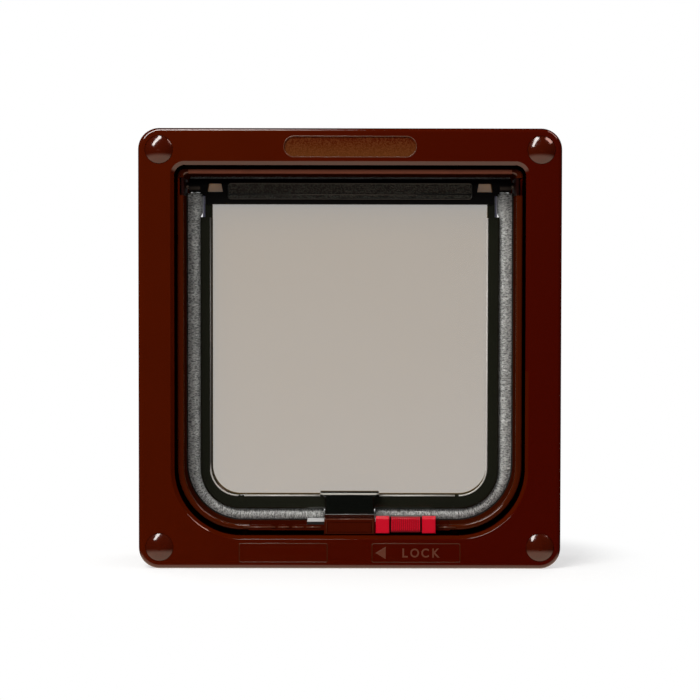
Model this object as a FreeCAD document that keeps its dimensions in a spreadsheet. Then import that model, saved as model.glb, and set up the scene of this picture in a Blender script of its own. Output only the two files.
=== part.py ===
import FreeCAD, Part
import Sketcher
import math
import os
import re
from collections import namedtuple

# Cat flap for a door: two screwed frames, a tunnel between them, a swinging flap and a slide lock.
# Millimetres, +Z up, the room side faces -Y. The origin is the middle of the base.

SIZES = {
    "frame_width": 192.0,
    "frame_height": 200.0,
    "frame_corner_radius": 9.5,
    "body_depth": 56.0,
    "flange_depth": 7.0,
    "face_wall": 2.5,
    "edge_wall": 2.4,
    "edge_round": 2.0,
    "side_rail": 16.25,
    "top_rail": 16.65,
    "opening_sill": 15.05,
    "opening_low_radius": 30.5,
    "opening_high_radius": 4.8,
    "lip_bevel": 1.65,
    "lip_edge_round": 0.35,
    "outer_lip_round": 1.5,
    "collar_wall": 1.8,
    "inner_collar_length": 24.0,
    "outer_collar_length": 12.0,
    "screw_inset_x": 9.5,
    "screw_inset_z": 9.8,
    "boss_radius": 6.6,
    "shank_radius": 2.0,
    "shank_clearance": 0.25,
    "head_radius": 4.0,
    "head_depth": 2.4,
    "head_clearance": 0.6,
    "head_floor": 2.3,
    "driver_slot_width": 1.1,
    "driver_slot_length": 5.0,
    "driver_slot_depth": 1.3,
    "cap_radius": 6.2,
    "cap_dome": 2.3,
    "cap_seat": 0.7,
    "cap_clearance": 0.2,
    "cap_hollow": 0.3,
    "cap_skirt_wall": 0.5,
    "cap_skirt_length": 1.0,
    "insert_radius": 3.5,
    "insert_length": 3.8,
    "insert_clearance": 0.05,
    "nameplate_width": 60.0,
    "nameplate_height": 9.4,
    "nameplate_end_radius": 4.6,
    "nameplate_depth": 0.6,
    "label_width": 40.4,
    "label_height": 8.9,
    "label_drop": 0.2,
    "label_offset": 30.2,
    "label_corner_radius": 0.9,
    "label_groove_width": 0.4,
    "label_groove_depth": 0.25,
    "liner_setback": 6.0,
    "liner_side_gap": 1.05,
    "liner_low_gap": 1.9,
    "liner_high_gap": 1.45,
    "liner_side_wall": 3.0,
    "liner_low_wall": 2.6,
    "liner_high_wall": 2.3,
    "liner_high_radius": 3.2,
    "liner_front_round": 0.95,
    "passage_high_radius": 1.5,
    "liner_seat_clearance": 0.2,
    "guide_width": 2.0,
    "guide_setback": 3.0,
    "guide_clearance": 0.15,
    "guide_offset": 47.8,
    "guide_low_rise": 42.0,
    "guide_high_drop": 31.0,
    "pivot_drop": 4.6,
    "pivot_setback": 26.0,
    "pivot_pin_radius": 1.5,
    "pivot_pin_clearance": 0.05,
    "pivot_pin_grip": 7.4,
    "pivot_pin_reach": 2.9,
    "slot_below_pivot": 5.1,
    "slot_above_pivot": 2.8,
    "slot_past_pivot": 4.6,
    "clip_clearance": 0.12,
    "clip_plate": 1.1,
    "clip_block_length": 9.8,
    "bar_side_gap": 1.1,
    "bar_thickness": 6.4,
    "bar_below_pivot": 8.7,
    "bar_shoulder_drop": 4.0,
    "bar_end_width": 7.7,
    "bar_window_width": 7.2,
    "bar_window_top_width": 5.7,
    "bar_window_inset": 15.8,
    "bar_window_drop": 3.1,
    "bar_window_height": 3.9,
    "grip_cover_width": 113.2,
    "grip_cover_height": 7.6,
    "grip_cover_drop": 6.5,
    "grip_cover_proud": 0.7,
    "grip_cover_radius": 1.5,
    "top_pile_end_gap": 0.4,
    "top_pile_thickness": 2.4,
    "top_pile_length": 1.0,
    "rim_side_gap": 6.45,
    "rim_floor_gap": 5.25,
    "rim_radius_step": 7.95,
    "rim_width": 5.5,
    "rim_low_width": 7.0,
    "rim_thickness": 7.0,
    "rim_top_gap": 6.0,
    "rim_edge_round": 1.1,
    "rim_seam_offset": 48.2,
    "rim_seam_gap": 0.12,
    "panel_thickness": 2.6,
    "panel_side_cover": 0.95,
    "panel_low_cover": 1.3,
    "panel_grip": 4.0,
    "panel_corner_radius": 0.4,
    "panel_clearance": 0.1,
    "pile_backing_thickness": 0.6,
    "pile_thickness": 4.0,
    "pile_tip_clearance": 0.35,
    "pile_top_gap": 0.35,
    "pile_block_gap": 1.3,
    "block_width": 22.8,
    "block_foot": 2.0,
    "block_front": 5.5,
    "block_top_width": 27.0,
    "block_top_height": 1.1,
    "block_flare_height": 1.5,
    "block_above_rim": 1.6,
    "block_chamfer": 0.7,
    "lock_groove_height": 2.0,
    "lock_groove_width": 3.4,
    "lock_groove_wall": 1.2,
    "flap_magnet_width": 18.0,
    "flap_magnet_height": 5.0,
    "flap_magnet_thickness": 3.4,
    "magnet_clearance": 0.15,
    "trough_half_width": 46.0,
    "trough_pile_gap": 0.6,
    "tray_clearance": 0.15,
    "tray_notch_inner": 27.2,
    "tray_notch_outer": 34.0,
    "tray_notch_width": 3.2,
    "tray_notch_depth": 1.2,
    "tray_notch_height": 2.0,
    "keeper_width": 39.0,
    "keeper_thickness": 1.3,
    "keeper_front_step": 1.2,
    "keeper_back_step": 1.0,
    "latch_cover_width": 23.3,
    "latch_cover_sill_gap": 0.2,
    "latch_cover_top_gap": 0.2,
    "latch_cover_setback": 3.2,
    "latch_cover_depth": 9.0,
    "latch_cover_wall": 1.0,
    "latch_cover_round": 0.5,
    "cover_line_width": 0.3,
    "cover_line_depth": 0.2,
    "cover_line_side_inset": 1.5,
    "cover_line_top_inset": 1.6,
    "cover_line_low_inset": 1.0,
    "frame_magnet_width": 18.0,
    "frame_magnet_thickness": 1.4,
    "slider_gap": 0.25,
    "slider_setback": 0.2,
    "slider_plate_thickness": 0.7,
    "slider_sill_gap": 1.15,
    "slider_above_cover": 1.4,
    "slider_pad_width": 6.2,
    "slider_pad_gap": 0.75,
    "slider_edge_bevel": 0.35,
    "slider_top_bevel_height": 1.3,
    "slider_top_bevel_depth": 1.0,
    "slider_grip_width": 13.3,
    "slider_grip_low_step": 1.3,
    "slider_grip_top_step": 0.4,
    "slider_rib_depth": 0.6,
    "slider_travel": 10.0,
    "arm_thickness": 1.2,
    "arm_clearance": 0.3,
    "arm_side_clearance": 1.2,
    "tooth_width": 2.4,
    "tooth_thickness": 2.4,
    "tooth_top_clearance": 1.2,
}

# Ribs on the lock's grip, and the share of their pitch that each one fills.
RIB_COUNT = 14
RIB_SHARE = 0.6

# Two places nearer to each other than this count as one.
SAME_PLACE = 0.001

doc = FreeCAD.newDocument("cat_flap")
sheet = doc.addObject("Spreadsheet::Sheet", "dims")
for row, (size_name, size_value) in enumerate(SIZES.items(), start=1):
    sheet.set(f"A{row}", size_name)
    sheet.set(f"B{row}", str(size_value))
    sheet.setAlias(f"B{row}", size_name)
doc.recompute()


# Places worked out from the driving dimensions. Y places run from the room side to the outside.

FRONT = "(cap_dome / 2 - body_depth / 2)"
BACK = f"({FRONT} + body_depth)"
INNER_FLANGE_BACK = f"({FRONT} + flange_depth)"
OUTER_FLANGE_FRONT = f"({BACK} - flange_depth)"
INNER_FACE_BACK = f"({FRONT} + face_wall)"
OUTER_FACE_FRONT = f"({BACK} - face_wall)"
FRAME_HALF = "(frame_width / 2)"
OPENING_HALF = "(frame_width / 2 - side_rail)"
OPENING_TOP = "(frame_height - top_rail)"
LINER_FRONT = f"({FRONT} + liner_setback)"
LINER_HALF = f"({OPENING_HALF} - liner_side_gap)"
LINER_LOW = "(opening_sill + liner_low_gap)"
LINER_TOP = f"({OPENING_TOP} - liner_high_gap)"
LINER_LOW_RADIUS = "(opening_low_radius - liner_side_gap)"
PASSAGE_HALF = f"({LINER_HALF} - liner_side_wall)"
FLOOR = f"({LINER_LOW} + liner_low_wall)"
ROOF = f"({LINER_TOP} - liner_high_wall)"
PASSAGE_LOW_RADIUS = f"({LINER_LOW_RADIUS} - liner_side_wall)"
PIVOT_Y = f"({FRONT} + pivot_setback)"
PIVOT_LEVEL = f"({ROOF} - pivot_drop)"
SLOT_LOW = f"({PIVOT_LEVEL} - slot_below_pivot)"
SLOT_TOP = f"({PIVOT_LEVEL} + slot_above_pivot)"
SLOT_BACK = f"({PIVOT_Y} + slot_past_pivot)"
BAR_HALF = f"({PASSAGE_HALF} - bar_side_gap)"
BAR_FRONT = f"({PIVOT_Y} - bar_thickness / 2)"
BAR_BACK = f"({PIVOT_Y} + bar_thickness / 2)"
BAR_LOW = f"({PIVOT_LEVEL} - bar_below_pivot)"
BAR_SHOULDER = f"({PIVOT_LEVEL} - bar_shoulder_drop)"
BAR_BODY_HALF = f"({BAR_HALF} - bar_end_width)"
RIM_FRONT = f"({PIVOT_Y} - rim_thickness / 2)"
RIM_BACK = f"({PIVOT_Y} + rim_thickness / 2)"
RIM_HALF = f"({PASSAGE_HALF} - rim_side_gap)"
RIM_LOW = f"({FLOOR} + rim_floor_gap)"
RIM_TOP = f"({BAR_LOW} - rim_top_gap)"
RIM_LOW_RADIUS = f"({PASSAGE_LOW_RADIUS} - rim_radius_step)"
WINDOW_HALF = f"({RIM_HALF} - rim_width)"
WINDOW_LOW = f"({RIM_LOW} + rim_low_width)"
PANEL_FRONT = f"({PIVOT_Y} - panel_thickness / 2)"
PANEL_BACK = f"({PIVOT_Y} + panel_thickness / 2)"
PANEL_HALF = f"({RIM_HALF} - panel_side_cover)"
PANEL_LOW = f"({RIM_LOW} + panel_low_cover)"
PANEL_TOP = f"({BAR_LOW} + panel_grip)"
PANEL_LOW_RADIUS = f"({RIM_LOW_RADIUS} - panel_side_cover)"
PILE_FRONT = f"({PIVOT_Y} - pile_thickness / 2)"
PILE_BACK = f"({PIVOT_Y} + pile_thickness / 2)"
PILE_TOP = f"({PIVOT_LEVEL} - bar_thickness / 2 - pile_top_gap)"
BLOCK_HALF = "(block_width / 2)"
BLOCK_FRONT = f"({RIM_FRONT} - block_front)"
BLOCK_LOW = f"({RIM_LOW} - block_foot)"
BLOCK_TOP = f"({WINDOW_LOW} + block_above_rim)"
GROOVE_FRONT = f"({BLOCK_FRONT} + lock_groove_wall)"
GROOVE_TOP = f"({BLOCK_LOW} + lock_groove_height)"
TRAY_TOP = f"({FLOOR} - tray_clearance)"
TROUGH_BACK = f"({PILE_FRONT} - trough_pile_gap)"
KEEPER_TOP = f"({TRAY_TOP} + keeper_thickness)"
COVER_HALF = "(latch_cover_width / 2)"
COVER_FRONT = f"({FRONT} + latch_cover_setback)"
COVER_BACK = f"({COVER_FRONT} + latch_cover_depth)"
COVER_LOW = "(opening_sill + latch_cover_sill_gap)"
COVER_TOP = f"({BLOCK_LOW} - latch_cover_top_gap)"
SLIDER_LEFT = f"({COVER_HALF} + slider_gap)"
SLIDER_FRONT = f"({FRONT} + slider_setback)"
SLIDER_BACK = f"({COVER_FRONT} - arm_clearance)"
SLIDER_PLATE_FRONT = f"({SLIDER_BACK} - slider_plate_thickness)"
SLIDER_LOW = "(opening_sill + slider_sill_gap)"
SLIDER_TOP = f"({COVER_TOP} + slider_above_cover)"
ARM_LOW = f"({KEEPER_TOP} + arm_clearance)"
ARM_TOP = f"({ARM_LOW} + arm_thickness)"
TOOTH_FRONT = f"({GROOVE_FRONT} + (lock_groove_width - tooth_thickness) / 2)"

Outline = namedtuple("Outline", "half low high low_radius high_radius")
FRAME_OUTLINE = Outline(FRAME_HALF, "0", "frame_height", "frame_corner_radius", "frame_corner_radius")
FRAME_HOLLOW = Outline(f"{FRAME_HALF} - edge_wall", "edge_wall", "frame_height - edge_wall",
                       "frame_corner_radius - edge_wall", "frame_corner_radius - edge_wall")
OPENING = Outline(OPENING_HALF, "opening_sill", OPENING_TOP, "opening_low_radius", "opening_high_radius")
COLLAR = Outline(f"{OPENING_HALF} + collar_wall", "opening_sill - collar_wall",
                 f"{OPENING_TOP} + collar_wall", "opening_low_radius + collar_wall",
                 "opening_high_radius + collar_wall")
LINER = Outline(LINER_HALF, LINER_LOW, LINER_TOP, LINER_LOW_RADIUS, "liner_high_radius")
LINER_SEAT = Outline(f"{LINER_HALF} + liner_seat_clearance", f"{LINER_LOW} - liner_seat_clearance",
                     f"{LINER_TOP} + liner_seat_clearance",
                     f"{LINER_LOW_RADIUS} + liner_seat_clearance",
                     "liner_high_radius + liner_seat_clearance")
PASSAGE = Outline(PASSAGE_HALF, FLOOR, ROOF, PASSAGE_LOW_RADIUS, "passage_high_radius")
RIM = Outline(RIM_HALF, RIM_LOW, PIVOT_LEVEL, RIM_LOW_RADIUS, "rim_edge_round")
WINDOW = Outline(WINDOW_HALF, WINDOW_LOW, f"{PIVOT_LEVEL} - rim_edge_round",
                 f"{RIM_LOW_RADIUS} - rim_width", "rim_edge_round / 2")
PANEL = Outline(PANEL_HALF, PANEL_LOW, PANEL_TOP, PANEL_LOW_RADIUS, "panel_corner_radius")
PANEL_SLOT = Outline(f"{PANEL_HALF} + panel_clearance", f"{PANEL_LOW} - panel_clearance",
                     f"{PANEL_TOP} + panel_clearance", f"{PANEL_LOW_RADIUS} + panel_clearance",
                     "panel_corner_radius")
BACKING_INNER = Outline(f"{PASSAGE_HALF} - pile_backing_thickness", f"{FLOOR} + pile_backing_thickness",
                        f"{ROOF} - pile_backing_thickness",
                        f"{PASSAGE_LOW_RADIUS} - pile_backing_thickness", "passage_high_radius")
PILE_INNER = Outline(f"{RIM_HALF} + pile_tip_clearance", f"{RIM_LOW} - pile_tip_clearance",
                     f"{ROOF} - 2 * pile_backing_thickness", f"{RIM_LOW_RADIUS} + pile_tip_clearance",
                     "passage_high_radius")
NAMEPLATE_LEVEL = f"(({OPENING_TOP} + frame_height) / 2)"
NAMEPLATE = Outline("nameplate_width / 2", f"{NAMEPLATE_LEVEL} - nameplate_height / 2",
                    f"{NAMEPLATE_LEVEL} + nameplate_height / 2", "nameplate_end_radius",
                    "nameplate_end_radius")
LABEL_LEVEL = "(opening_sill / 2 - label_drop)"


def spelled(expression):
    """Write each driving dimension in an expression as a cell of the sheet, and leave functions alone."""
    return re.sub(r"\b[a-z_]+\b(?!\()", lambda word: f"dims.{word.group(0)}", expression)


def number(expression):
    """Value of an expression in millimetres."""
    return float(sheet.evalExpression(spelled(expression)))


def tie(item, path, expression):
    """Bind one property of an object to the sheet."""
    item.setExpression(path, spelled(expression))


def new_body(label):
    body = doc.addObject("PartDesign::Body", label)
    body.Label = label
    return body


def sketch_on(body, name, role, path, offset):
    """New sketch on one of the body's own planes, moved along its normal."""
    sketch = body.newObject("Sketcher::SketchObject", name)
    plane = [item for item in body.Origin.OriginFeatures if item.Role == role][0]
    sketch.AttachmentSupport = (plane, [""])
    sketch.MapMode = "FlatFace"
    tie(sketch, path, offset)
    return sketch


def upright_sketch(body, name, place):
    """Sketch that faces the room, X across and Z up, at a Y place."""
    return sketch_on(body, name, "XZ_Plane", ".AttachmentOffset.Base.z", f"-({place})")


def side_sketch(body, name, place):
    """Sketch seen from the side, Y across and Z up, at an X place."""
    return sketch_on(body, name, "YZ_Plane", ".AttachmentOffset.Base.z", place)


def pin_point(sketch, kind, element, point, expression):
    """Hold one coordinate of a point at an expression's value."""
    value = number(expression)
    if abs(value) < SAME_PLACE:
        axis = -1 if kind == "DistanceY" else -2
        sketch.addConstraint(Sketcher.Constraint("PointOnObject", element, point, axis))
        return
    if value > 0:
        index = sketch.addConstraint(Sketcher.Constraint(kind, -1, 1, element, point, value))
        tie(sketch, f"Constraints[{index}]", expression)
        return
    index = sketch.addConstraint(Sketcher.Constraint(kind, element, point, -1, 1, -value))
    tie(sketch, f"Constraints[{index}]", f"-({expression})")


def draw_polygon(sketch, corners):
    """Closed outline of straight lines through corners, each an (across, up) pair of expressions."""
    start = sketch.GeometryCount
    points = [FreeCAD.Vector(number(across), number(up), 0) for across, up in corners]
    count = len(points)
    for index in range(count):
        sketch.addGeometry(Part.LineSegment(points[index], points[(index + 1) % count]), False)
    for index, (across, up) in enumerate(corners):
        following = start + (index + 1) % count
        sketch.addConstraint(Sketcher.Constraint("Coincident", start + index, 2, following, 1))
        pin_point(sketch, "DistanceX", start + index, 1, across)
        pin_point(sketch, "DistanceY", start + index, 1, up)


def draw_rectangle(sketch, left, right, low, high):
    draw_polygon(sketch, [(left, low), (right, low), (right, high), (left, high)])


def draw_circle(sketch, across, up, radius):
    centre = FreeCAD.Vector(number(across), number(up), 0)
    index = sketch.addGeometry(Part.Circle(centre, FreeCAD.Vector(0, 0, 1), number(radius)), False)
    held = sketch.addConstraint(Sketcher.Constraint("Radius", index, number(radius)))
    tie(sketch, f"Constraints[{held}]", radius)
    pin_point(sketch, "DistanceX", index, 3, across)
    pin_point(sketch, "DistanceY", index, 3, up)


def draw_outline(sketch, outline, middle="0"):
    """Rounded rectangle with one radius for the low corners and one for the high corners."""
    left = f"{middle} - ({outline.half})"
    right = f"{middle} + ({outline.half})"
    x0, x1 = number(left), number(right)
    z0, z1 = number(outline.low), number(outline.high)
    low_radius, high_radius = number(outline.low_radius), number(outline.high_radius)
    start = sketch.GeometryCount
    quarter = math.pi / 2
    up = FreeCAD.Vector(0, 0, 1)
    low_left, low_right = x0 + low_radius, x1 - low_radius
    high_left, high_right = x0 + high_radius, x1 - high_radius
    low_level, high_level = z0 + low_radius, z1 - high_radius
    corners = [(low_right, low_level, low_radius, 3), (high_right, high_level, high_radius, 0),
               (high_left, high_level, high_radius, 1), (low_left, low_level, low_radius, 2)]
    sides = [((low_left, z0), (low_right, z0)), ((x1, low_level), (x1, high_level)),
             ((high_right, z1), (high_left, z1)), ((x0, high_level), (x0, low_level))]
    for side, corner in zip(sides, corners):
        ends = [FreeCAD.Vector(point[0], point[1], 0) for point in side]
        sketch.addGeometry(Part.LineSegment(ends[0], ends[1]), False)
        circle = Part.Circle(FreeCAD.Vector(corner[0], corner[1], 0), up, corner[2])
        first = corner[3] * quarter
        sketch.addGeometry(Part.ArcOfCircle(circle, first, first + quarter), False)
    for index in range(4):
        line, arc = start + 2 * index, start + 2 * index + 1
        following = start + (2 * index + 2) % 8
        sketch.addConstraint(Sketcher.Constraint("Tangent", line, 2, arc, 1))
        sketch.addConstraint(Sketcher.Constraint("Tangent", arc, 2, following, 1))
        direction = "Horizontal" if index % 2 == 0 else "Vertical"
        sketch.addConstraint(Sketcher.Constraint(direction, line))
        radius = outline.low_radius if index in (0, 3) else outline.high_radius
        held = sketch.addConstraint(Sketcher.Constraint("Radius", arc, number(radius)))
        tie(sketch, f"Constraints[{held}]", radius)
    pin_point(sketch, "DistanceY", start, 1, outline.low)
    pin_point(sketch, "DistanceX", start + 2, 1, right)
    pin_point(sketch, "DistanceY", start + 4, 1, outline.high)
    pin_point(sketch, "DistanceX", start + 6, 1, left)


def add_pad(body, sketch, near, far, reverse=True):
    """Solid between two places on a sketch's normal."""
    pad = body.newObject("PartDesign::Pad", f"{sketch.Name}_pad")
    pad.Profile = sketch
    pad.Reversed = reverse
    tie(pad, "Length", f"({far}) - ({near})")
    return pad


def add_pocket(body, sketch, near, far, reverse=False):
    """Cut between two places, from the sketch onwards."""
    before = body.Shape.Volume if body.Shape.Solids else 0.0
    pocket = body.newObject("PartDesign::Pocket", f"{sketch.Name}_cut")
    pocket.Profile = sketch
    pocket.Reversed = reverse
    tie(pocket, "Length", f"({far}) - ({near})")
    doc.recompute()
    if not body.Shape.Volume < before:
        raise RuntimeError(f"{pocket.Name} cuts nothing")
    return pocket


def slab(body, name, outline, near, far, middle="0"):
    sketch = upright_sketch(body, name, near)
    draw_outline(sketch, outline, middle)
    pad = add_pad(body, sketch, near, far)
    doc.recompute()
    return pad


def sink(body, name, outline, near, far, middle="0"):
    sketch = upright_sketch(body, name, near)
    draw_outline(sketch, outline, middle)
    return add_pocket(body, sketch, near, far)


def trim(body, name, left, right, low, high, near, far):
    """Cut a rectangular block out of a body, seen from the room."""
    sketch = upright_sketch(body, name, near)
    draw_rectangle(sketch, left, right, low, high)
    return add_pocket(body, sketch, near, far)


def round_edges(body, name, radius, wanted):
    """Round the edges of the body's tip for which wanted(edge) is true."""
    doc.recompute()
    base = body.Tip
    names = [f"Edge{index}" for index, edge in enumerate(base.Shape.Edges, start=1) if wanted(edge)]
    fillet = body.newObject("PartDesign::Fillet", name)
    fillet.Base = (base, names)
    tie(fillet, "Radius", radius)
    doc.recompute()
    if "Invalid" in fillet.State:
        raise RuntimeError(f"{name} can't round its edges")
    return fillet


def bevel_body_edges(body, name, size, wanted):
    """Bevel the edges of the body's tip for which wanted(edge) is true."""
    doc.recompute()
    base = body.Tip
    names = [f"Edge{index}" for index, edge in enumerate(base.Shape.Edges, start=1) if wanted(edge)]
    bevel = body.newObject("PartDesign::Chamfer", name)
    bevel.Base = (base, names)
    tie(bevel, "Size", size)
    doc.recompute()
    if "Invalid" in bevel.State:
        raise RuntimeError(f"{name} can't bevel its edges")
    return bevel


def edge_at(edge, place):
    """True for an edge that lies wholly at one Y place."""
    box = edge.BoundBox
    return max(abs(box.YMin - number(place)), abs(box.YMax - number(place))) < SAME_PLACE


def block(name, left, right, near, far, low, high):
    """Upright block between three pairs of places."""
    box = doc.addObject("Part::Box", name)
    tie(box, "Length", f"({right}) - ({left})")
    tie(box, "Width", f"({far}) - ({near})")
    tie(box, "Height", f"({high}) - ({low})")
    tie(box, ".Placement.Base.x", left)
    tie(box, ".Placement.Base.y", near)
    tie(box, ".Placement.Base.z", low)
    return box


def rod_along_y(name, radius, near, far, across, up):
    """Round bar that runs from the room towards the outside."""
    rod = doc.addObject("Part::Cylinder", name)
    rod.Placement = FreeCAD.Placement(FreeCAD.Vector(), FreeCAD.Rotation(FreeCAD.Vector(1, 0, 0), -90))
    tie(rod, "Radius", radius)
    tie(rod, "Height", f"({far}) - ({near})")
    tie(rod, ".Placement.Base.x", across)
    tie(rod, ".Placement.Base.y", near)
    tie(rod, ".Placement.Base.z", up)
    return rod


def rod_along_x(name, radius, left, right, depth, up):
    """Round bar that runs across the door."""
    rod = doc.addObject("Part::Cylinder", name)
    rod.Placement = FreeCAD.Placement(FreeCAD.Vector(), FreeCAD.Rotation(FreeCAD.Vector(0, 1, 0), 90))
    tie(rod, "Radius", radius)
    tie(rod, "Height", f"({right}) - ({left})")
    tie(rod, ".Placement.Base.x", left)
    tie(rod, ".Placement.Base.y", depth)
    tie(rod, ".Placement.Base.z", up)
    return rod


def fuse(name, shapes):
    joined = doc.addObject("Part::MultiFuse", name)
    joined.Shapes = shapes
    joined.Refine = True
    joined.Label = name
    return joined


def cut(name, base, tool):
    result = doc.addObject("Part::Cut", name)
    result.Base = base
    result.Tool = tool
    result.Refine = True
    result.Label = name
    return result


def group(name, items):
    """Like fasteners kept together as separate solids."""
    compound = doc.addObject("Part::Compound", name)
    compound.Links = items
    compound.Label = name
    return compound


def screw_places():
    """Across and up expressions of the four screws."""
    places = []
    reach = f"({FRAME_HALF} - screw_inset_x)"
    for across in (f"-{reach}", reach):
        for up in ("screw_inset_z", "(frame_height - screw_inset_z)"):
            places.append((across, up))
    return places


def round_cuts(body, name, radius, near, far):
    """Round holes at the four screws."""
    sketch = upright_sketch(body, name, near)
    for across, up in screw_places():
        draw_circle(sketch, across, up, radius)
    return add_pocket(body, sketch, near, far)


def round_bosses(body, name, radius, near, far):
    """Round pillars at the four screws."""
    sketch = upright_sketch(body, name, near)
    for across, up in screw_places():
        draw_circle(sketch, across, up, radius)
    pad = add_pad(body, sketch, near, far)
    doc.recompute()
    return pad


def build_inner_frame():
    """Room-side frame: a hollow flange with a rolled lip and a collar round the tunnel."""
    body = new_body("inner_frame")
    slab(body, "inner_flange", FRAME_OUTLINE, FRONT, INNER_FLANGE_BACK)
    round_edges(body, "inner_edge_round", "edge_round", lambda edge: edge_at(edge, FRONT))
    sink(body, "inner_hollow", FRAME_HOLLOW, INNER_FACE_BACK, INNER_FLANGE_BACK)
    collar_back = f"({FRONT} + inner_collar_length)"
    slab(body, "inner_collar", COLLAR, INNER_FACE_BACK, collar_back)
    round_bosses(body, "inner_bosses", "boss_radius", INNER_FACE_BACK, INNER_FLANGE_BACK)
    sink(body, "inner_opening", OPENING, FRONT, collar_back)
    bevel_body_edges(body, "inner_lip_bevel", "lip_bevel",
                     lambda edge: edge_at(edge, FRONT) and on_opening(edge, 0))
    round_edges(body, "inner_lip_round", "lip_edge_round",
                lambda edge: edge_at(edge, FRONT) and on_opening(edge, number("lip_bevel")))
    round_cuts(body, "inner_cap_seats", "cap_radius + cap_clearance", FRONT, f"({FRONT} + cap_seat)")
    head_seat = f"({INNER_FLANGE_BACK} - head_floor)"
    round_cuts(body, "inner_head_seats", "head_radius + head_clearance", FRONT, head_seat)
    round_cuts(body, "inner_screw_holes", "shank_radius + shank_clearance", FRONT, INNER_FLANGE_BACK)
    sink(body, "nameplate_recess", NAMEPLATE, FRONT, f"({FRONT} + nameplate_depth)")
    for side, middle in (("left", "-label_offset"), ("right", "label_offset")):
        add_label_groove(body, side, middle)
    add_guides(body)
    return body


def on_opening(edge, grown):
    """True for an edge of the frame's opening, or of that opening grown by some millimetres."""
    box = edge.BoundBox
    half, low, high = number(OPENING_HALF), number("opening_sill"), number(OPENING_TOP)
    across = max(abs(box.XMin), abs(box.XMax)) < half + grown + SAME_PLACE
    upright = box.ZMin > low - grown - SAME_PLACE and box.ZMax < high + grown + SAME_PLACE
    return across and upright


def add_label_groove(body, side, middle):
    """Thin groove round a label panel under the opening."""
    sketch = upright_sketch(body, f"label_groove_{side}", FRONT)
    for grow, radius in (("0", "label_corner_radius"),
                         ("label_groove_width", "label_corner_radius - label_groove_width / 2")):
        panel = Outline(f"label_width / 2 - {grow}", f"{LABEL_LEVEL} - label_height / 2 + {grow}",
                        f"{LABEL_LEVEL} + label_height / 2 - {grow}", radius, radius)
        draw_outline(sketch, panel, middle)
    add_pocket(body, sketch, FRONT, f"{FRONT} + label_groove_depth")


def add_guides(body):
    """Eight narrow ribs inside the collar that centre the tunnel liner."""
    near, far = f"({FRONT} + guide_setback)", f"({FRONT} + inner_collar_length)"
    root = "collar_wall / 2"
    sketch = upright_sketch(body, "guide_ribs", near)
    spans = []
    for across in ("-guide_offset", "guide_offset"):
        left, right = f"{across} - guide_width / 2", f"{across} + guide_width / 2"
        spans.append((left, right, f"opening_sill - {root}", f"{LINER_LOW} - guide_clearance"))
        spans.append((left, right, f"{LINER_TOP} + guide_clearance", f"{OPENING_TOP} + {root}"))
    for level in ("opening_sill + guide_low_rise", f"{OPENING_TOP} - guide_high_drop"):
        low, high = f"{level} - guide_width / 2", f"{level} + guide_width / 2"
        spans.append((f"-({OPENING_HALF}) - {root}", f"-({LINER_HALF}) - guide_clearance", low, high))
        spans.append((f"{LINER_HALF} + guide_clearance", f"{OPENING_HALF} + {root}", low, high))
    for left, right, low, high in spans:
        draw_rectangle(sketch, left, right, low, high)
    pad = add_pad(body, sketch, near, far)
    doc.recompute()
    return pad


def build_outer_frame():
    """Weather-side frame: a like flange whose face stops the tunnel liner."""
    body = new_body("outer_frame")
    slab(body, "outer_flange", FRAME_OUTLINE, OUTER_FLANGE_FRONT, BACK)
    round_edges(body, "outer_edge_round", "edge_round", lambda edge: edge_at(edge, BACK))
    sink(body, "outer_hollow", FRAME_HOLLOW, OUTER_FLANGE_FRONT, OUTER_FACE_FRONT)
    collar_front = f"({BACK} - outer_collar_length)"
    slab(body, "outer_collar", COLLAR, collar_front, OUTER_FACE_FRONT)
    round_bosses(body, "outer_bosses", "boss_radius", OUTER_FLANGE_FRONT, OUTER_FACE_FRONT)
    sink(body, "outer_liner_seat", LINER_SEAT, collar_front, OUTER_FACE_FRONT)
    sink(body, "outer_opening", PASSAGE, OUTER_FACE_FRONT, BACK)
    round_edges(body, "outer_lip_round", "outer_lip_round",
                lambda edge: edge_at(edge, BACK) and on_opening(edge, 0))
    round_cuts(body, "outer_insert_seats", "insert_radius", OUTER_FLANGE_FRONT,
               f"({OUTER_FLANGE_FRONT} + insert_length)")
    return body


def build_liner():
    """Tunnel through the door, with a slot each side for the flap's pivots and a trough for the lock."""
    body = new_body("tunnel_liner")
    slab(body, "liner_tube", LINER, LINER_FRONT, OUTER_FACE_FRONT)
    sink(body, "liner_passage", PASSAGE, LINER_FRONT, OUTER_FACE_FRONT)
    round_edges(body, "liner_front_edges", "liner_front_round", lambda edge: edge_at(edge, LINER_FRONT))
    inner, outer = f"({PASSAGE_HALF} - liner_side_wall)", f"({LINER_HALF} + liner_side_wall)"
    for sign, side in ((-1, "left"), (1, "right")):
        trim(body, f"pivot_slot_{side}", *mirrored(sign, inner, outer), SLOT_LOW, SLOT_TOP, LINER_FRONT,
             SLOT_BACK)
    trim(body, "lock_trough", "-trough_half_width", "trough_half_width",
         f"({LINER_LOW} - liner_low_wall)", f"({FLOOR} + liner_low_wall)", LINER_FRONT, TROUGH_BACK)
    return body


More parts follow.
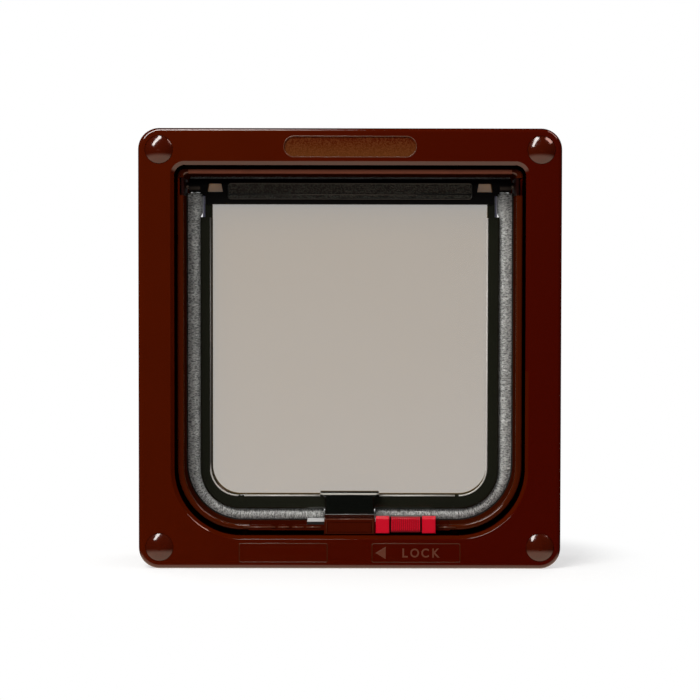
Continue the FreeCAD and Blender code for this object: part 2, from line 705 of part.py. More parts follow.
def build_bearing_clip(side, sign):
    """Slide-in plate that closes a pivot slot and carries one hinge pin."""
    low, high = f"({SLOT_LOW} + clip_clearance)", f"({SLOT_TOP} - clip_clearance)"
    inner, outer = PASSAGE_HALF, f"({LINER_HALF} - clip_clearance)"
    plate_edge = f"({PASSAGE_HALF} + clip_plate)"
    back = f"({SLOT_BACK} - clip_clearance)"
    block_front = f"({back} - clip_block_length)"
    plate = block(f"clip_plate_{side}", *mirrored(sign, inner, plate_edge), LINER_FRONT, back, low, high)
    body = block(f"clip_block_{side}", *mirrored(sign, inner, outer), block_front, back, low, high)
    bore = rod_along_x(f"clip_bore_{side}", "pivot_pin_radius + pivot_pin_clearance",
                       *mirrored(sign, f"({inner} - clip_plate)", f"({outer} + clip_plate)"),
                       PIVOT_Y, PIVOT_LEVEL)
    joined = fuse(f"clip_blank_{side}", [plate, body])
    return cut(f"bearing_clip_{side}", joined, bore)


def mirrored(sign, inner, outer):
    """Left and right places of a span that lies on one side of the middle."""
    if sign < 0:
        return f"-({outer})", f"-({inner})"
    return inner, outer


def build_hinge_pin(side, sign):
    """Steel pin pressed into the hinge bar's end."""
    inner, outer = f"{BAR_HALF} - pivot_pin_grip", f"{PASSAGE_HALF} + pivot_pin_reach"
    pin = rod_along_x(f"hinge_pin_{side}", "pivot_pin_radius", *mirrored(sign, inner, outer),
                      PIVOT_Y, PIVOT_LEVEL)
    pin.Label = f"hinge_pin_{side}"
    return pin


def build_hinge_bar():
    """Bar along the flap's top, round over the pivot, with a small window near each end."""
    body = new_body("hinge_bar")
    barrel = side_sketch(body, "bar_barrel", f"-({BAR_HALF})")
    draw_circle(barrel, PIVOT_Y, PIVOT_LEVEL, "bar_thickness / 2")
    add_pad(body, barrel, f"-({BAR_HALF})", BAR_HALF, reverse=False)
    shoulder = upright_sketch(body, "bar_shoulder", BAR_FRONT)
    draw_rectangle(shoulder, f"-{RIM_HALF}", RIM_HALF, BAR_SHOULDER, PIVOT_LEVEL)
    add_pad(body, shoulder, BAR_FRONT, BAR_BACK)
    skirt = upright_sketch(body, "bar_skirt", BAR_FRONT)
    draw_rectangle(skirt, f"-{BAR_BODY_HALF}", BAR_BODY_HALF, BAR_LOW, PIVOT_LEVEL)
    add_pad(body, skirt, BAR_FRONT, BAR_BACK)
    doc.recompute()
    windows = upright_sketch(body, "bar_windows", BAR_FRONT)
    for prefix in ("-", ""):
        draw_bar_window(windows, prefix)
    add_pocket(body, windows, BAR_FRONT, BAR_BACK)
    sink(body, "panel_groove", PANEL_SLOT, f"({PANEL_FRONT} - panel_clearance)",
         f"({PANEL_BACK} + panel_clearance)")
    for sign, side in ((-1, "left"), (1, "right")):
        near, far = mirrored(sign, f"({BAR_HALF} - pivot_pin_grip)", BAR_HALF)
        bore = side_sketch(body, f"pin_bore_{side}", near)
        draw_circle(bore, PIVOT_Y, PIVOT_LEVEL, "pivot_pin_radius")
        add_pocket(body, bore, near, far, reverse=True)
    return body


def draw_bar_window(sketch, prefix):
    """Small four-sided window, wider at its foot. The prefix is a minus sign on the left side."""
    middle = f"{prefix}({BAR_HALF} - bar_window_inset + bar_window_width / 2)"
    foot = f"({PIVOT_LEVEL} - bar_window_drop)"
    head = f"({foot} + bar_window_height)"
    draw_polygon(sketch, [(f"{middle} - bar_window_width / 2", foot),
                          (f"{middle} + bar_window_width / 2", foot),
                          (f"{middle} + bar_window_top_width / 2", head),
                          (f"{middle} - bar_window_top_width / 2", head)])


def build_grip_cover():
    """Thin grained strip on the hinge bar's room side."""
    body = new_body("hinge_bar_cover")
    low = f"({PIVOT_LEVEL} - grip_cover_drop)"
    strip = Outline("grip_cover_width / 2", low, f"{low} + grip_cover_height", "grip_cover_radius",
                    "grip_cover_radius")
    slab(body, "cover_strip", strip, f"({BAR_FRONT} - grip_cover_proud)", BAR_FRONT)
    return body


def build_panel():
    """Clear smoked sheet that a pet pushes."""
    body = new_body("flap_window")
    slab(body, "window_sheet", PANEL, PANEL_FRONT, PANEL_BACK)
    return body


def rim_ring(body, tag):
    """Closed ring round the sheet's edge, cut down afterwards to one moulded piece."""
    slab(body, f"rim_{tag}", RIM, RIM_FRONT, RIM_BACK)
    sink(body, f"rim_window_{tag}", WINDOW, RIM_FRONT, RIM_BACK)


def finish_rim(body, tag):
    """Round the piece's long edges and cut the channel that the sheet stands in."""
    round_edges(body, f"rim_round_{tag}", "rim_edge_round", is_long_rim_edge)
    sink(body, f"rim_slot_{tag}", PANEL_SLOT, f"({PANEL_FRONT} - panel_clearance)",
         f"({PANEL_BACK} + panel_clearance)")


def is_long_rim_edge(edge):
    """True for a rim edge on its front or back that isn't on a cut end."""
    box = edge.BoundBox
    at_top = box.ZLength < SAME_PLACE and box.ZMin > number(RIM_TOP) - SAME_PLACE
    inside_seam = max(abs(box.XMin), abs(box.XMax)) < number("rim_seam_offset + rim_seam_gap")
    at_seam = box.XLength < SAME_PLACE and inside_seam
    return (edge_at(edge, RIM_FRONT) or edge_at(edge, RIM_BACK)) and not at_top and not at_seam


def trim_rim(body, name, left, right, low):
    """Cut a rim piece through its whole thickness, from a level to past the ring's top."""
    past = "rim_thickness"
    trim(body, name, left, right, low, f"({PIVOT_LEVEL} + {past})", f"({RIM_FRONT} - {past})",
         f"({RIM_BACK} + {past})")


def build_rim_side(side, sign):
    """Side of the rim with its low corner."""
    body = new_body(f"flap_rim_{side}")
    rim_ring(body, side)
    beyond = f"({RIM_HALF} + rim_thickness)"
    below = f"({RIM_LOW} - rim_thickness)"
    trim_rim(body, f"rim_top_{side}", f"-{beyond}", beyond, RIM_TOP)
    seam = "(rim_seam_offset + rim_seam_gap / 2)"
    left, right = (f"-{seam}", beyond) if sign < 0 else (f"-{beyond}", seam)
    trim_rim(body, f"rim_seam_{side}", left, right, below)
    finish_rim(body, side)
    return body


def build_rim_foot():
    """Straight low length of the rim between its two seams."""
    body = new_body("flap_rim_foot")
    rim_ring(body, "foot")
    beyond = f"({RIM_HALF} + rim_thickness)"
    below = f"({RIM_LOW} - rim_thickness)"
    seam = "(rim_seam_offset - rim_seam_gap / 2)"
    trim_rim(body, "foot_top", f"-{beyond}", beyond, f"({WINDOW_LOW} + rim_thickness)")
    trim_rim(body, "foot_left", f"-{beyond}", f"-{seam}", below)
    trim_rim(body, "foot_right", seam, beyond, below)
    finish_rim(body, "foot")
    return body


def build_top_pile():
    """Short pile on the hinge bar's crown, against the tunnel's roof."""
    half = f"({BAR_HALF} - top_pile_end_gap)"
    blank = block("top_pile_blank", f"-{half}", half,
                  f"{PIVOT_Y} - top_pile_thickness / 2", f"{PIVOT_Y} + top_pile_thickness / 2",
                  PIVOT_LEVEL, f"({PIVOT_LEVEL} + bar_thickness / 2 + top_pile_length)")
    barrel = rod_along_x("top_pile_barrel", "bar_thickness / 2", f"-{BAR_HALF}", BAR_HALF,
                         PIVOT_Y, PIVOT_LEVEL)
    return cut("top_pile", blank, barrel)


def build_strip(label, outer, inner, sign):
    """Bent strip down one side of the tunnel and along its floor, up to the magnet block."""
    body = new_body(label)
    slab(body, f"{label}_outer", outer, PILE_FRONT, PILE_BACK)
    sink(body, f"{label}_inner", inner, PILE_FRONT, PILE_BACK)
    past = "pile_thickness"
    near, far = f"({PILE_FRONT} - {past})", f"({PILE_BACK} + {past})"
    beyond, above = f"({PASSAGE_HALF} + {past})", f"({ROOF} + {past})"
    foot_end = f"({BLOCK_HALF} + pile_block_gap)"
    trim(body, f"{label}_head", f"-{beyond}", beyond, PILE_TOP, above, near, far)
    left, right = (f"-{foot_end}", beyond) if sign < 0 else (f"-{beyond}", foot_end)
    trim(body, f"{label}_foot", left, right, f"({FLOOR} - {past})", above, near, far)
    return body


def build_magnet_block():
    """Block at the flap's foot that holds its magnet and takes the lock's tooth."""
    front = new_body("block_front_part")
    face = upright_sketch(front, "block_face", BLOCK_FRONT)
    crown_low = f"({BLOCK_TOP} - block_top_height)"
    flare_low = f"({crown_low} - block_flare_height)"
    right_side = [(BLOCK_HALF, BLOCK_LOW), (BLOCK_HALF, flare_low), ("block_top_width / 2", crown_low),
                  ("block_top_width / 2", BLOCK_TOP)]
    left_side = [(f"-({across})", up) for across, up in reversed(right_side)]
    draw_polygon(face, right_side + left_side)
    add_pad(front, face, BLOCK_FRONT, RIM_FRONT)
    foot = block("block_foot_part", f"-{BLOCK_HALF}", BLOCK_HALF, RIM_FRONT, RIM_BACK, BLOCK_LOW, RIM_LOW)
    blank = fuse("block_blank", [front, foot])
    beveled = bevel_edges(blank, "block_chamfer", is_block_edge)
    beyond = f"({BLOCK_HALF} + block_chamfer)"
    groove_back = f"({GROOVE_FRONT} + lock_groove_width)"
    groove = block("lock_groove", f"-{beyond}", beyond, GROOVE_FRONT, groove_back,
                   f"({BLOCK_LOW} - lock_groove_height)", GROOVE_TOP)
    low = magnet_low()
    half = "(flap_magnet_width / 2 + magnet_clearance)"
    pocket = block("magnet_pocket", f"-{half}", half,
                   f"({RIM_FRONT} - flap_magnet_thickness - magnet_clearance)", RIM_FRONT,
                   f"({low} - magnet_clearance)", f"({low} + flap_magnet_height + magnet_clearance)")
    return cut("magnet_block", cut("block_grooved", beveled, groove), pocket)


def is_block_edge(edge):
    """True for the block's front edges, apart from the one along its foot."""
    return edge_at(edge, BLOCK_FRONT) and edge.BoundBox.ZMax > number(BLOCK_LOW) + SAME_PLACE


def bevel_edges(base, size, wanted):
    """Bevel the edges of a solid for which wanted(edge) is true."""
    doc.recompute()
    wide = number(size)
    bevel = doc.addObject("Part::Chamfer", f"{base.Name}_bevel")
    bevel.Base = base
    bevel.Edges = [(index, wide, wide) for index, edge in enumerate(base.Shape.Edges, start=1)
                   if wanted(edge)]
    return bevel


def magnet_low():
    """Lower face of the flap's magnet, midway between the lock groove and the block's top."""
    return f"(({BLOCK_TOP} + {GROOVE_TOP} - flap_magnet_height) / 2)"


def build_flap_magnet():
    low = magnet_low()
    magnet = block("flap_magnet", "-flap_magnet_width / 2", "flap_magnet_width / 2",
                   f"({RIM_FRONT} - flap_magnet_thickness)", RIM_FRONT, low, f"({low} + flap_magnet_height)")
    magnet.Label = "flap_magnet"
    return magnet


def build_tray():
    """Moulded tray in the tunnel's floor that carries the keeper, the cover and the lock."""
    half = "(trough_half_width - tray_clearance)"
    base = block("tray_base", f"-{half}", half, LINER_FRONT, f"({TROUGH_BACK} - tray_clearance)",
                 LINER_LOW, TRAY_TOP)
    notches = []
    for name in ("tray_notch_inner", "tray_notch_outer"):
        inner, outer = f"({name} - tray_notch_width / 2)", f"({name} + tray_notch_width / 2)"
        for sign, side in ((-1, "left"), (1, "right")):
            left, right = mirrored(sign, inner, outer)
            notches.append(block(f"{name}_{side}", left, right, f"({LINER_FRONT} - tray_notch_depth)",
                                 f"({LINER_FRONT} + tray_notch_depth)", f"({TRAY_TOP} - tray_notch_height)",
                                 f"({TRAY_TOP} + tray_notch_height)"))
    return cut("latch_tray", base, fuse("tray_notches", notches))


def build_keeper():
    """Bright steel strip on the tray that the flap's magnet is drawn to."""
    plate = block("keeper_plate", "-keeper_width / 2", "keeper_width / 2",
                  f"({LINER_FRONT} + keeper_front_step)", f"({TROUGH_BACK} - keeper_back_step)",
                  TRAY_TOP, KEEPER_TOP)
    plate.Label = "keeper_plate"
    return plate


def build_latch_cover():
    """Hooded cover over the frame's magnet, open at its back."""
    body = new_body("latch_cover")
    lap = f"({LINER_FRONT} - tray_clearance)"
    front = upright_sketch(body, "cover_front", COVER_FRONT)
    draw_rectangle(front, f"-{COVER_HALF}", COVER_HALF, COVER_LOW, COVER_TOP)
    add_pad(body, front, COVER_FRONT, lap)
    hood = upright_sketch(body, "cover_hood", lap)
    draw_rectangle(hood, f"-{COVER_HALF}", COVER_HALF, KEEPER_TOP, COVER_TOP)
    add_pad(body, hood, lap, COVER_BACK)
    round_edges(body, "cover_edge_round", "latch_cover_round", is_cover_edge)
    add_cover_line(body)
    half = "(frame_magnet_width / 2 + magnet_clearance)"
    trim(body, "cover_magnet_seat", f"-{half}", half, f"({COVER_LOW} + latch_cover_wall)",
         f"({COVER_TOP} - latch_cover_wall)", f"({COVER_FRONT} + latch_cover_wall)", lap)
    return body


def add_cover_line(body):
    """Thin groove that outlines the latch cover's front."""
    sketch = upright_sketch(body, "cover_line", COVER_FRONT)
    for inset in ("0", "cover_line_width"):
        half = f"{COVER_HALF} - cover_line_side_inset - {inset}"
        draw_rectangle(sketch, f"-({half})", half, f"{COVER_LOW} + cover_line_low_inset + {inset}",
                       f"{COVER_TOP} - cover_line_top_inset - {inset}")
    add_pocket(body, sketch, COVER_FRONT, f"{COVER_FRONT} + cover_line_depth")


def is_cover_edge(edge):
    """True for an edge round the latch cover's front or along its top."""
    return edge_at(edge, COVER_FRONT) or edge.BoundBox.ZMin > number(COVER_TOP) - SAME_PLACE


def build_frame_magnet():
    front = f"({COVER_FRONT} + latch_cover_wall)"
    magnet = block("frame_magnet", "-frame_magnet_width / 2", "frame_magnet_width / 2", front,
                   f"({front} + frame_magnet_thickness)", f"({COVER_LOW} + latch_cover_wall)",
                   f"({COVER_TOP} - latch_cover_wall - magnet_clearance)")
    magnet.Label = "frame_magnet"
    return magnet


def build_slider():
    """Lock slider: two end pads and a ribbed grip on a plate, with an arm and a tooth behind."""
    grip_left = f"({SLIDER_LEFT} + slider_pad_width + slider_pad_gap)"
    grip_right = f"({grip_left} + slider_grip_width)"
    grip_low, grip_top = f"({SLIDER_LOW} + slider_grip_low_step)", f"({SLIDER_TOP} - slider_grip_top_step)"
    pad_left = f"({grip_right} + slider_pad_gap)"
    right = f"({pad_left} + slider_pad_width)"
    pieces = []
    for name, left in (("slider_pad_left", SLIDER_LEFT), ("slider_pad_right", pad_left)):
        pad = block(name, left, f"({left} + slider_pad_width)", SLIDER_FRONT, SLIDER_PLATE_FRONT,
                    SLIDER_LOW, SLIDER_TOP)
        pieces.append(bevel_edges(pad, "slider_edge_bevel", is_pad_edge))
    pieces.append(block("slider_plate", SLIDER_LEFT, right, SLIDER_PLATE_FRONT, SLIDER_BACK,
                        f"({SLIDER_LOW} + slider_edge_bevel)", f"({SLIDER_TOP} - slider_edge_bevel)"))
    pieces.append(block("slider_grip", grip_left, grip_right, f"({SLIDER_FRONT} + slider_rib_depth)",
                        SLIDER_PLATE_FRONT, grip_low, grip_top))
    pitch = f"(slider_grip_width / {RIB_COUNT})"
    for index in range(RIB_COUNT):
        left = f"({grip_left} + {pitch} * {index + (1 - RIB_SHARE) / 2})"
        pieces.append(block(f"slider_rib_{index}", left, f"({left} + {pitch} * {RIB_SHARE})", SLIDER_FRONT,
                            SLIDER_PLATE_FRONT, grip_low, grip_top))
    web_left = f"({COVER_HALF} + slider_travel + arm_side_clearance)"
    bend = f"({COVER_BACK} + arm_side_clearance)"
    tooth_left = f"({BLOCK_HALF} + arm_side_clearance)"
    tooth_back = f"({TOOTH_FRONT} + tooth_thickness)"
    pieces.append(block("slider_web", web_left, right, SLIDER_BACK, bend, ARM_LOW, ARM_TOP))
    pieces.append(block("slider_arm", tooth_left, right, bend, tooth_back, ARM_LOW, ARM_TOP))
    pieces.append(block("slider_tooth", tooth_left, f"({tooth_left} + tooth_width)", TOOTH_FRONT, tooth_back,
                        ARM_LOW, f"({GROOVE_TOP} - tooth_top_clearance)"))
    return cut("lock_slider", fuse("slider_blank", pieces), slider_bevel(right))


def is_pad_edge(edge):
    """True for a slider pad's front edges, apart from the one along its top."""
    return edge_at(edge, SLIDER_FRONT) and edge.BoundBox.ZMin < number(SLIDER_TOP) - SAME_PLACE


def slider_bevel(right):
    """Sloped tool that bevels the slider's top front edge from end to end."""
    tool = new_body("slider_bevel_tool")
    start = f"({SLIDER_LEFT} - slider_gap)"
    sketch = side_sketch(tool, "slider_bevel_corner", start)
    slope_low = f"({SLIDER_TOP} - slider_top_bevel_height)"
    slope_back = f"({SLIDER_FRONT} + slider_top_bevel_depth)"
    beyond = f"({SLIDER_FRONT} - slider_top_bevel_depth)"
    above = f"({SLIDER_TOP} + slider_top_bevel_height)"
    draw_polygon(sketch, [(SLIDER_FRONT, slope_low), (slope_back, SLIDER_TOP), (slope_back, above),
                          (beyond, above), (beyond, slope_low)])
    add_pad(tool, sketch, start, f"({right} + slider_gap)", reverse=False)
    return tool


def build_screws():
    """Four long screws from the room side into the outer frame's inserts."""
    seat = f"({INNER_FLANGE_BACK} - head_floor)"
    head_front = f"({seat} - head_depth)"
    tip = f"({OUTER_FLANGE_FRONT} + insert_length)"
    long_half, wide_half = "driver_slot_length / 2", "driver_slot_width / 2"
    screws = []
    for index, (across, up) in enumerate(screw_places()):
        head = rod_along_y(f"screw_head_{index}", "head_radius", head_front, seat, across, up)
        shank = rod_along_y(f"screw_shank_{index}", "shank_radius", seat, tip, across, up)
        slots = []
        for turn, (half_x, half_z) in enumerate(((long_half, wide_half), (wide_half, long_half))):
            left, right = f"({across} - {half_x})", f"({across} + {half_x})"
            low, high = f"({up} - {half_z})", f"({up} + {half_z})"
            slots.append(block(f"driver_slot_{index}_{turn}", left, right, head_front,
                               f"({head_front} + driver_slot_depth)", low, high))
        blank = fuse(f"screw_blank_{index}", [head, shank])
        screws.append(cut(f"screw_{index}", blank, fuse(f"driver_slots_{index}", slots)))
    return group("frame_screws", screws)


def build_inserts():
    """Four threaded brass inserts, with a plain bore in place of the thread."""
    back = f"({OUTER_FLANGE_FRONT} + insert_length)"
    inserts = []
    for index, (across, up) in enumerate(screw_places()):
        outer = rod_along_y(f"insert_outer_{index}", "insert_radius", OUTER_FLANGE_FRONT, back, across, up)
        bore = rod_along_y(f"insert_bore_{index}", "shank_radius + insert_clearance", OUTER_FLANGE_FRONT,
                           back, across, up)
        inserts.append(cut(f"insert_{index}", outer, bore))
    return group("thread_inserts", inserts)


def build_caps():
    """Four domed caps that snap in over the screw heads."""
    ball_radius = "((cap_radius * cap_radius + cap_dome * cap_dome) / (2 * cap_dome))"
    seat = f"({FRONT} + cap_seat)"
    skirt_end = f"({seat} + cap_skirt_length)"
    skirt_radius = "(head_radius + head_clearance - cap_clearance)"
    caps = []
    for index, (across, up) in enumerate(screw_places()):
        dome = doc.addObject("Part::Sphere", f"cap_dome_{index}")
        dome.Placement = FreeCAD.Placement(FreeCAD.Vector(), FreeCAD.Rotation(FreeCAD.Vector(1, 0, 0), 90))
        tie(dome, "Radius", ball_radius)
        tie(dome, "Angle1", f"asin(({ball_radius} - cap_dome) / {ball_radius})")
        tie(dome, ".Placement.Base.x", across)
        tie(dome, ".Placement.Base.y", f"{FRONT} - cap_dome + {ball_radius}")
        tie(dome, ".Placement.Base.z", up)
        disc = rod_along_y(f"cap_disc_{index}", "cap_radius", FRONT, seat, across, up)
        skirt = rod_along_y(f"cap_skirt_{index}", skirt_radius, FRONT, skirt_end, across, up)
        hollow = rod_along_y(f"cap_hollow_{index}", f"{skirt_radius} - cap_skirt_wall",
                             f"({FRONT} - cap_hollow)", skirt_end, across, up)
        caps.append(cut(f"cap_{index}", fuse(f"cap_blank_{index}", [dome, disc, skirt]), hollow))
    return group("screw_caps", caps)


def build_part():
    """Make every sub-part and return them in order."""
    parts = [build_inner_frame(), build_outer_frame(), build_liner(), build_screws(), build_inserts(),
             build_caps(), build_tray(), build_keeper(), build_latch_cover(), build_frame_magnet()]
    for side, sign in (("left", -1), ("right", 1)):
        parts.append(build_bearing_clip(side, sign))
        parts.append(build_strip(f"pile_backing_{side}", PASSAGE, BACKING_INNER, sign))
        parts.append(build_strip(f"side_pile_{side}", BACKING_INNER, PILE_INNER, sign))
        parts.append(build_hinge_pin(side, sign))
        parts.append(build_rim_side(side, sign))
    parts += [build_rim_foot(), build_panel(), build_hinge_bar(), build_grip_cover(), build_top_pile(),
              build_magnet_block(), build_flap_magnet(), build_slider()]
    return parts


def check_document():
    """Stop if any object failed to build."""
    for item in doc.Objects:
        if "Invalid" in item.State or "Error" in item.State:
            raise RuntimeError(f"{item.Name} failed: {item.State}")


def write_steps(parts):
    """Write each sub-part to its own STEP file."""
    os.makedirs("parts", exist_ok=True)
    for part in parts:
        if part.Shape.isNull() or not part.Shape.isValid():
            raise RuntimeError(f"{part.Label} has no valid shape")
        part.Shape.exportStep(f"parts/{part.Label}.step")
        print(part.Label, len(part.Shape.Solids), round(part.Shape.Volume, 1))


subparts = build_part()
doc.recompute()
check_document()
write_steps(subparts)
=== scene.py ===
"""Looks of a cat flap: two brown frames, a tunnel, a smoked flap in a pile seal, and a red slide lock."""

import logging
import math
from dataclasses import dataclass, field
from enum import Enum
from typing import Sequence

import bpy
import numpy as np
from mathutils import Matrix, Vector


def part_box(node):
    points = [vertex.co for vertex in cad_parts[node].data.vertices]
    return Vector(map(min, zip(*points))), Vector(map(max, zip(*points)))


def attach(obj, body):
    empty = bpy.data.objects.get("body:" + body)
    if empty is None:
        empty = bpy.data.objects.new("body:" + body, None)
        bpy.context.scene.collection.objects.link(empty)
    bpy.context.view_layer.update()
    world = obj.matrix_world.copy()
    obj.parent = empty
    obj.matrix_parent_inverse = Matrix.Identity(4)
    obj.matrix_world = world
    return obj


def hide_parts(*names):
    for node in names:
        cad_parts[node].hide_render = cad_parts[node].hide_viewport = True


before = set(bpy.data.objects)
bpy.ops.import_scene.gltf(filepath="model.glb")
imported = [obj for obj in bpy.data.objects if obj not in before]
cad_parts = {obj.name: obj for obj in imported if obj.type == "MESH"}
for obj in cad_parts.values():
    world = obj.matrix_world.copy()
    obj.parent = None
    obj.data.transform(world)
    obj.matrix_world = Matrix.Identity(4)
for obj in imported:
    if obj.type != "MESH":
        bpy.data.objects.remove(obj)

LOG = logging.getLogger("cat_flap")
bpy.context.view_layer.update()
MM = 0.001
FRONT = -26.85 * MM
PIVOT = Vector((0.0, -0.85 * MM, 175.0 * MM))

Colour = tuple[float, float, float]
Triple = Sequence[float]


class Body(Enum):
    """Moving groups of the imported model."""

    FRAME = "frame"
    FLAP = "flap"
    LOCK = "lock"


class Side(Enum):
    """Which side of the opening a piece is on."""

    LEFT = -1
    RIGHT = 1


class Wire:
    """Socket of a shader that can be used in ordinary arithmetic."""

    def __init__(self, nodes: "Nodes", socket: bpy.types.NodeSocket) -> None:
        """Keep the socket and the tree that it belongs to."""
        self.nodes = nodes
        self.socket = socket

    def maths(self, operation: str, *values: "Wire | float") -> "Wire":
        """Add a Math node.

        Args:
            operation: The node's operation.
            values: Its inputs, in order.

        Returns:
            The node's result.
        """
        return self.nodes.add("ShaderNodeMath", {"operation": operation}, dict(enumerate(values)))

    def __add__(self, other: "Wire | float") -> "Wire":
        """Sum."""
        return self.maths("ADD", self, other)

    def __radd__(self, other: float) -> "Wire":
        """Sum with a number on the left."""
        return self.maths("ADD", other, self)

    def __sub__(self, other: "Wire | float") -> "Wire":
        """Difference."""
        return self.maths("SUBTRACT", self, other)

    def __rsub__(self, other: float) -> "Wire":
        """Difference with a number on the left."""
        return self.maths("SUBTRACT", other, self)

    def __mul__(self, other: "Wire | float") -> "Wire":
        """Product."""
        return self.maths("MULTIPLY", self, other)

    def __rmul__(self, other: float) -> "Wire":
        """Product with a number on the left."""
        return self.maths("MULTIPLY", other, self)

    def __abs__(self) -> "Wire":
        """Size without sign."""
        return self.maths("ABSOLUTE", self)

    def highest(self, other: "Wire | float") -> "Wire":
        """Larger of two values."""
        return self.maths("MAXIMUM", self, other)

    def step(self, low: float, high: float) -> "Wire":
        """Smooth step from 0 at low to 1 at high.

        Args:
            low: Value that gives 0.
            high: Value that gives 1.

        Returns:
            The step.
        """
        return self.nodes.add(
            "ShaderNodeMapRange", {"interpolation_type": "SMOOTHSTEP"},
            {"Value": self, "From Min": low, "From Max": high, "To Min": 0.0, "To Max": 1.0})

    def band(self, low: float, high: float, soft: float) -> "Wire":
        """Mask that is 1 between two values, with soft ends.

        Args:
            low: Lower end of the band.
            high: Upper end of the band.
            soft: Width of each soft end.

        Returns:
            The mask.
        """
        return self.step(low - soft, low + soft) * (1 - self.step(high - soft, high + soft))


class Nodes:
    """Node tree with one short way to add a node."""

    def __init__(self, tree: bpy.types.NodeTree) -> None:
        """Start from an empty tree."""
        self.tree = tree
        tree.nodes.clear()

    def add(self, kind: str, settings: dict | None = None, inputs: dict | None = None,
            out: int | str = 0) -> Wire:
        """Add a node and wire it up.

        Args:
            kind: The node's type.
            settings: Attributes that are set before its sockets.
            inputs: Values or wires by socket name or number.
            out: Output to hand back.

        Returns:
            That output as a wire.
        """
        node = self.tree.nodes.new(kind)
        for name, value in (settings or {}).items():
            setattr(node, name, value)
        for key, value in (inputs or {}).items():
            socket = node.inputs[key]
            if isinstance(value, Wire):
                self.tree.links.new(value.socket, socket)
            elif isinstance(value, tuple) and len(value) == 3 and socket.type == "RGBA":
                socket.default_value = (*value, 1.0)
            else:
                socket.default_value = value
        return Wire(self, node.outputs[out] if len(node.outputs) else node.inputs[0])

    def place(self) -> Wire:
        """Position on the object, in metres."""
        return self.add("ShaderNodeTexCoord", out="Object")

    def axes(self, vector: Wire) -> tuple[Wire, Wire, Wire]:
        """The three parts of a vector."""
        split = self.add("ShaderNodeSeparateXYZ", inputs={0: vector})
        outputs = split.socket.node.outputs
        return Wire(self, outputs[0]), Wire(self, outputs[1]), Wire(self, outputs[2])

    def noise(self, size: float, detail: float = 2.0, vector: Wire | None = None) -> Wire:
        """Noise texture.

        Args:
            size: Size of its blotches in metres.
            detail: Number of finer layers.
            vector: Where it is read, or the place on the object.

        Returns:
            The noise, about 0.5 on average.
        """
        return self.add("ShaderNodeTexNoise", {"noise_dimensions": "3D"},
                        {"Vector": vector or self.place(), "Scale": 1.0 / size, "Detail": detail})

    def stretched(self, scale: Triple) -> Wire:
        """Place on the object, stretched along each axis."""
        return self.add("ShaderNodeVectorMath", {"operation": "MULTIPLY"},
                        {0: self.place(), 1: tuple(scale)})

    def blend(self, share: Wire | float, first: Wire | Colour, second: Wire | Colour) -> Wire:
        """Mix two colours.

        Args:
            share: 0 for the first colour, 1 for the second.
            first: First colour.
            second: Second colour.

        Returns:
            The mixed colour.
        """
        return self.add("ShaderNodeMix", {"data_type": "RGBA"}, {0: share, 6: first, 7: second}, out=2)

    def bump(self, height: Wire, depth: float, strength: float = 1.0) -> Wire:
        """Bump from a height.

        Args:
            height: Height from 0 to 1.
            depth: Metres that a height of 1 stands for.
            strength: Share of the effect.

        Returns:
            The normal.
        """
        return self.add("ShaderNodeBump", inputs={"Strength": strength, "Distance": depth, "Height": height})

    def surface(self, inputs: dict) -> Wire:
        """Principled shader with these sockets."""
        return self.add("ShaderNodeBsdfPrincipled", inputs=inputs)

    def finish(self, shader: Wire) -> None:
        """Send a shader to the material's output."""
        self.add("ShaderNodeOutputMaterial", inputs={"Surface": shader})


def new_material(name: str) -> tuple[bpy.types.Material, Nodes]:
    """Material with an empty tree.

    Args:
        name: Its name.

    Returns:
        The material and its nodes.
    """
    material = bpy.data.materials.new(name)
    material.use_nodes = True
    return material, Nodes(material.node_tree)


def shaded(colour: Colour, factor: float) -> Colour:
    """Colour made lighter or darker by a factor."""
    red, green, blue = (min(1.0, part * factor) for part in colour)
    return red, green, blue


@dataclass(frozen=True)
class Zone:
    """Box of the object, in millimetres, in which a finish is darker or lighter, and rougher."""

    low: Triple
    high: Triple
    factor: float
    roughness: float = 0.0
    soft: float = 0.3 * MM
    tint: Colour | None = None

    def mask(self, nodes: Nodes) -> Wire:
        """Mask that is 1 inside the box.

        Args:
            nodes: Tree that it is made in.

        Returns:
            The mask.
        """
        across, deep, up = (place.band(low * MM, high * MM, self.soft) for place, low, high in
                            zip(nodes.axes(nodes.place()), self.low, self.high))
        return across * deep * up

    def colour(self, base: Colour) -> Colour:
        """Colour inside the box, for a finish of this base colour."""
        return self.tint or shaded(base, self.factor)


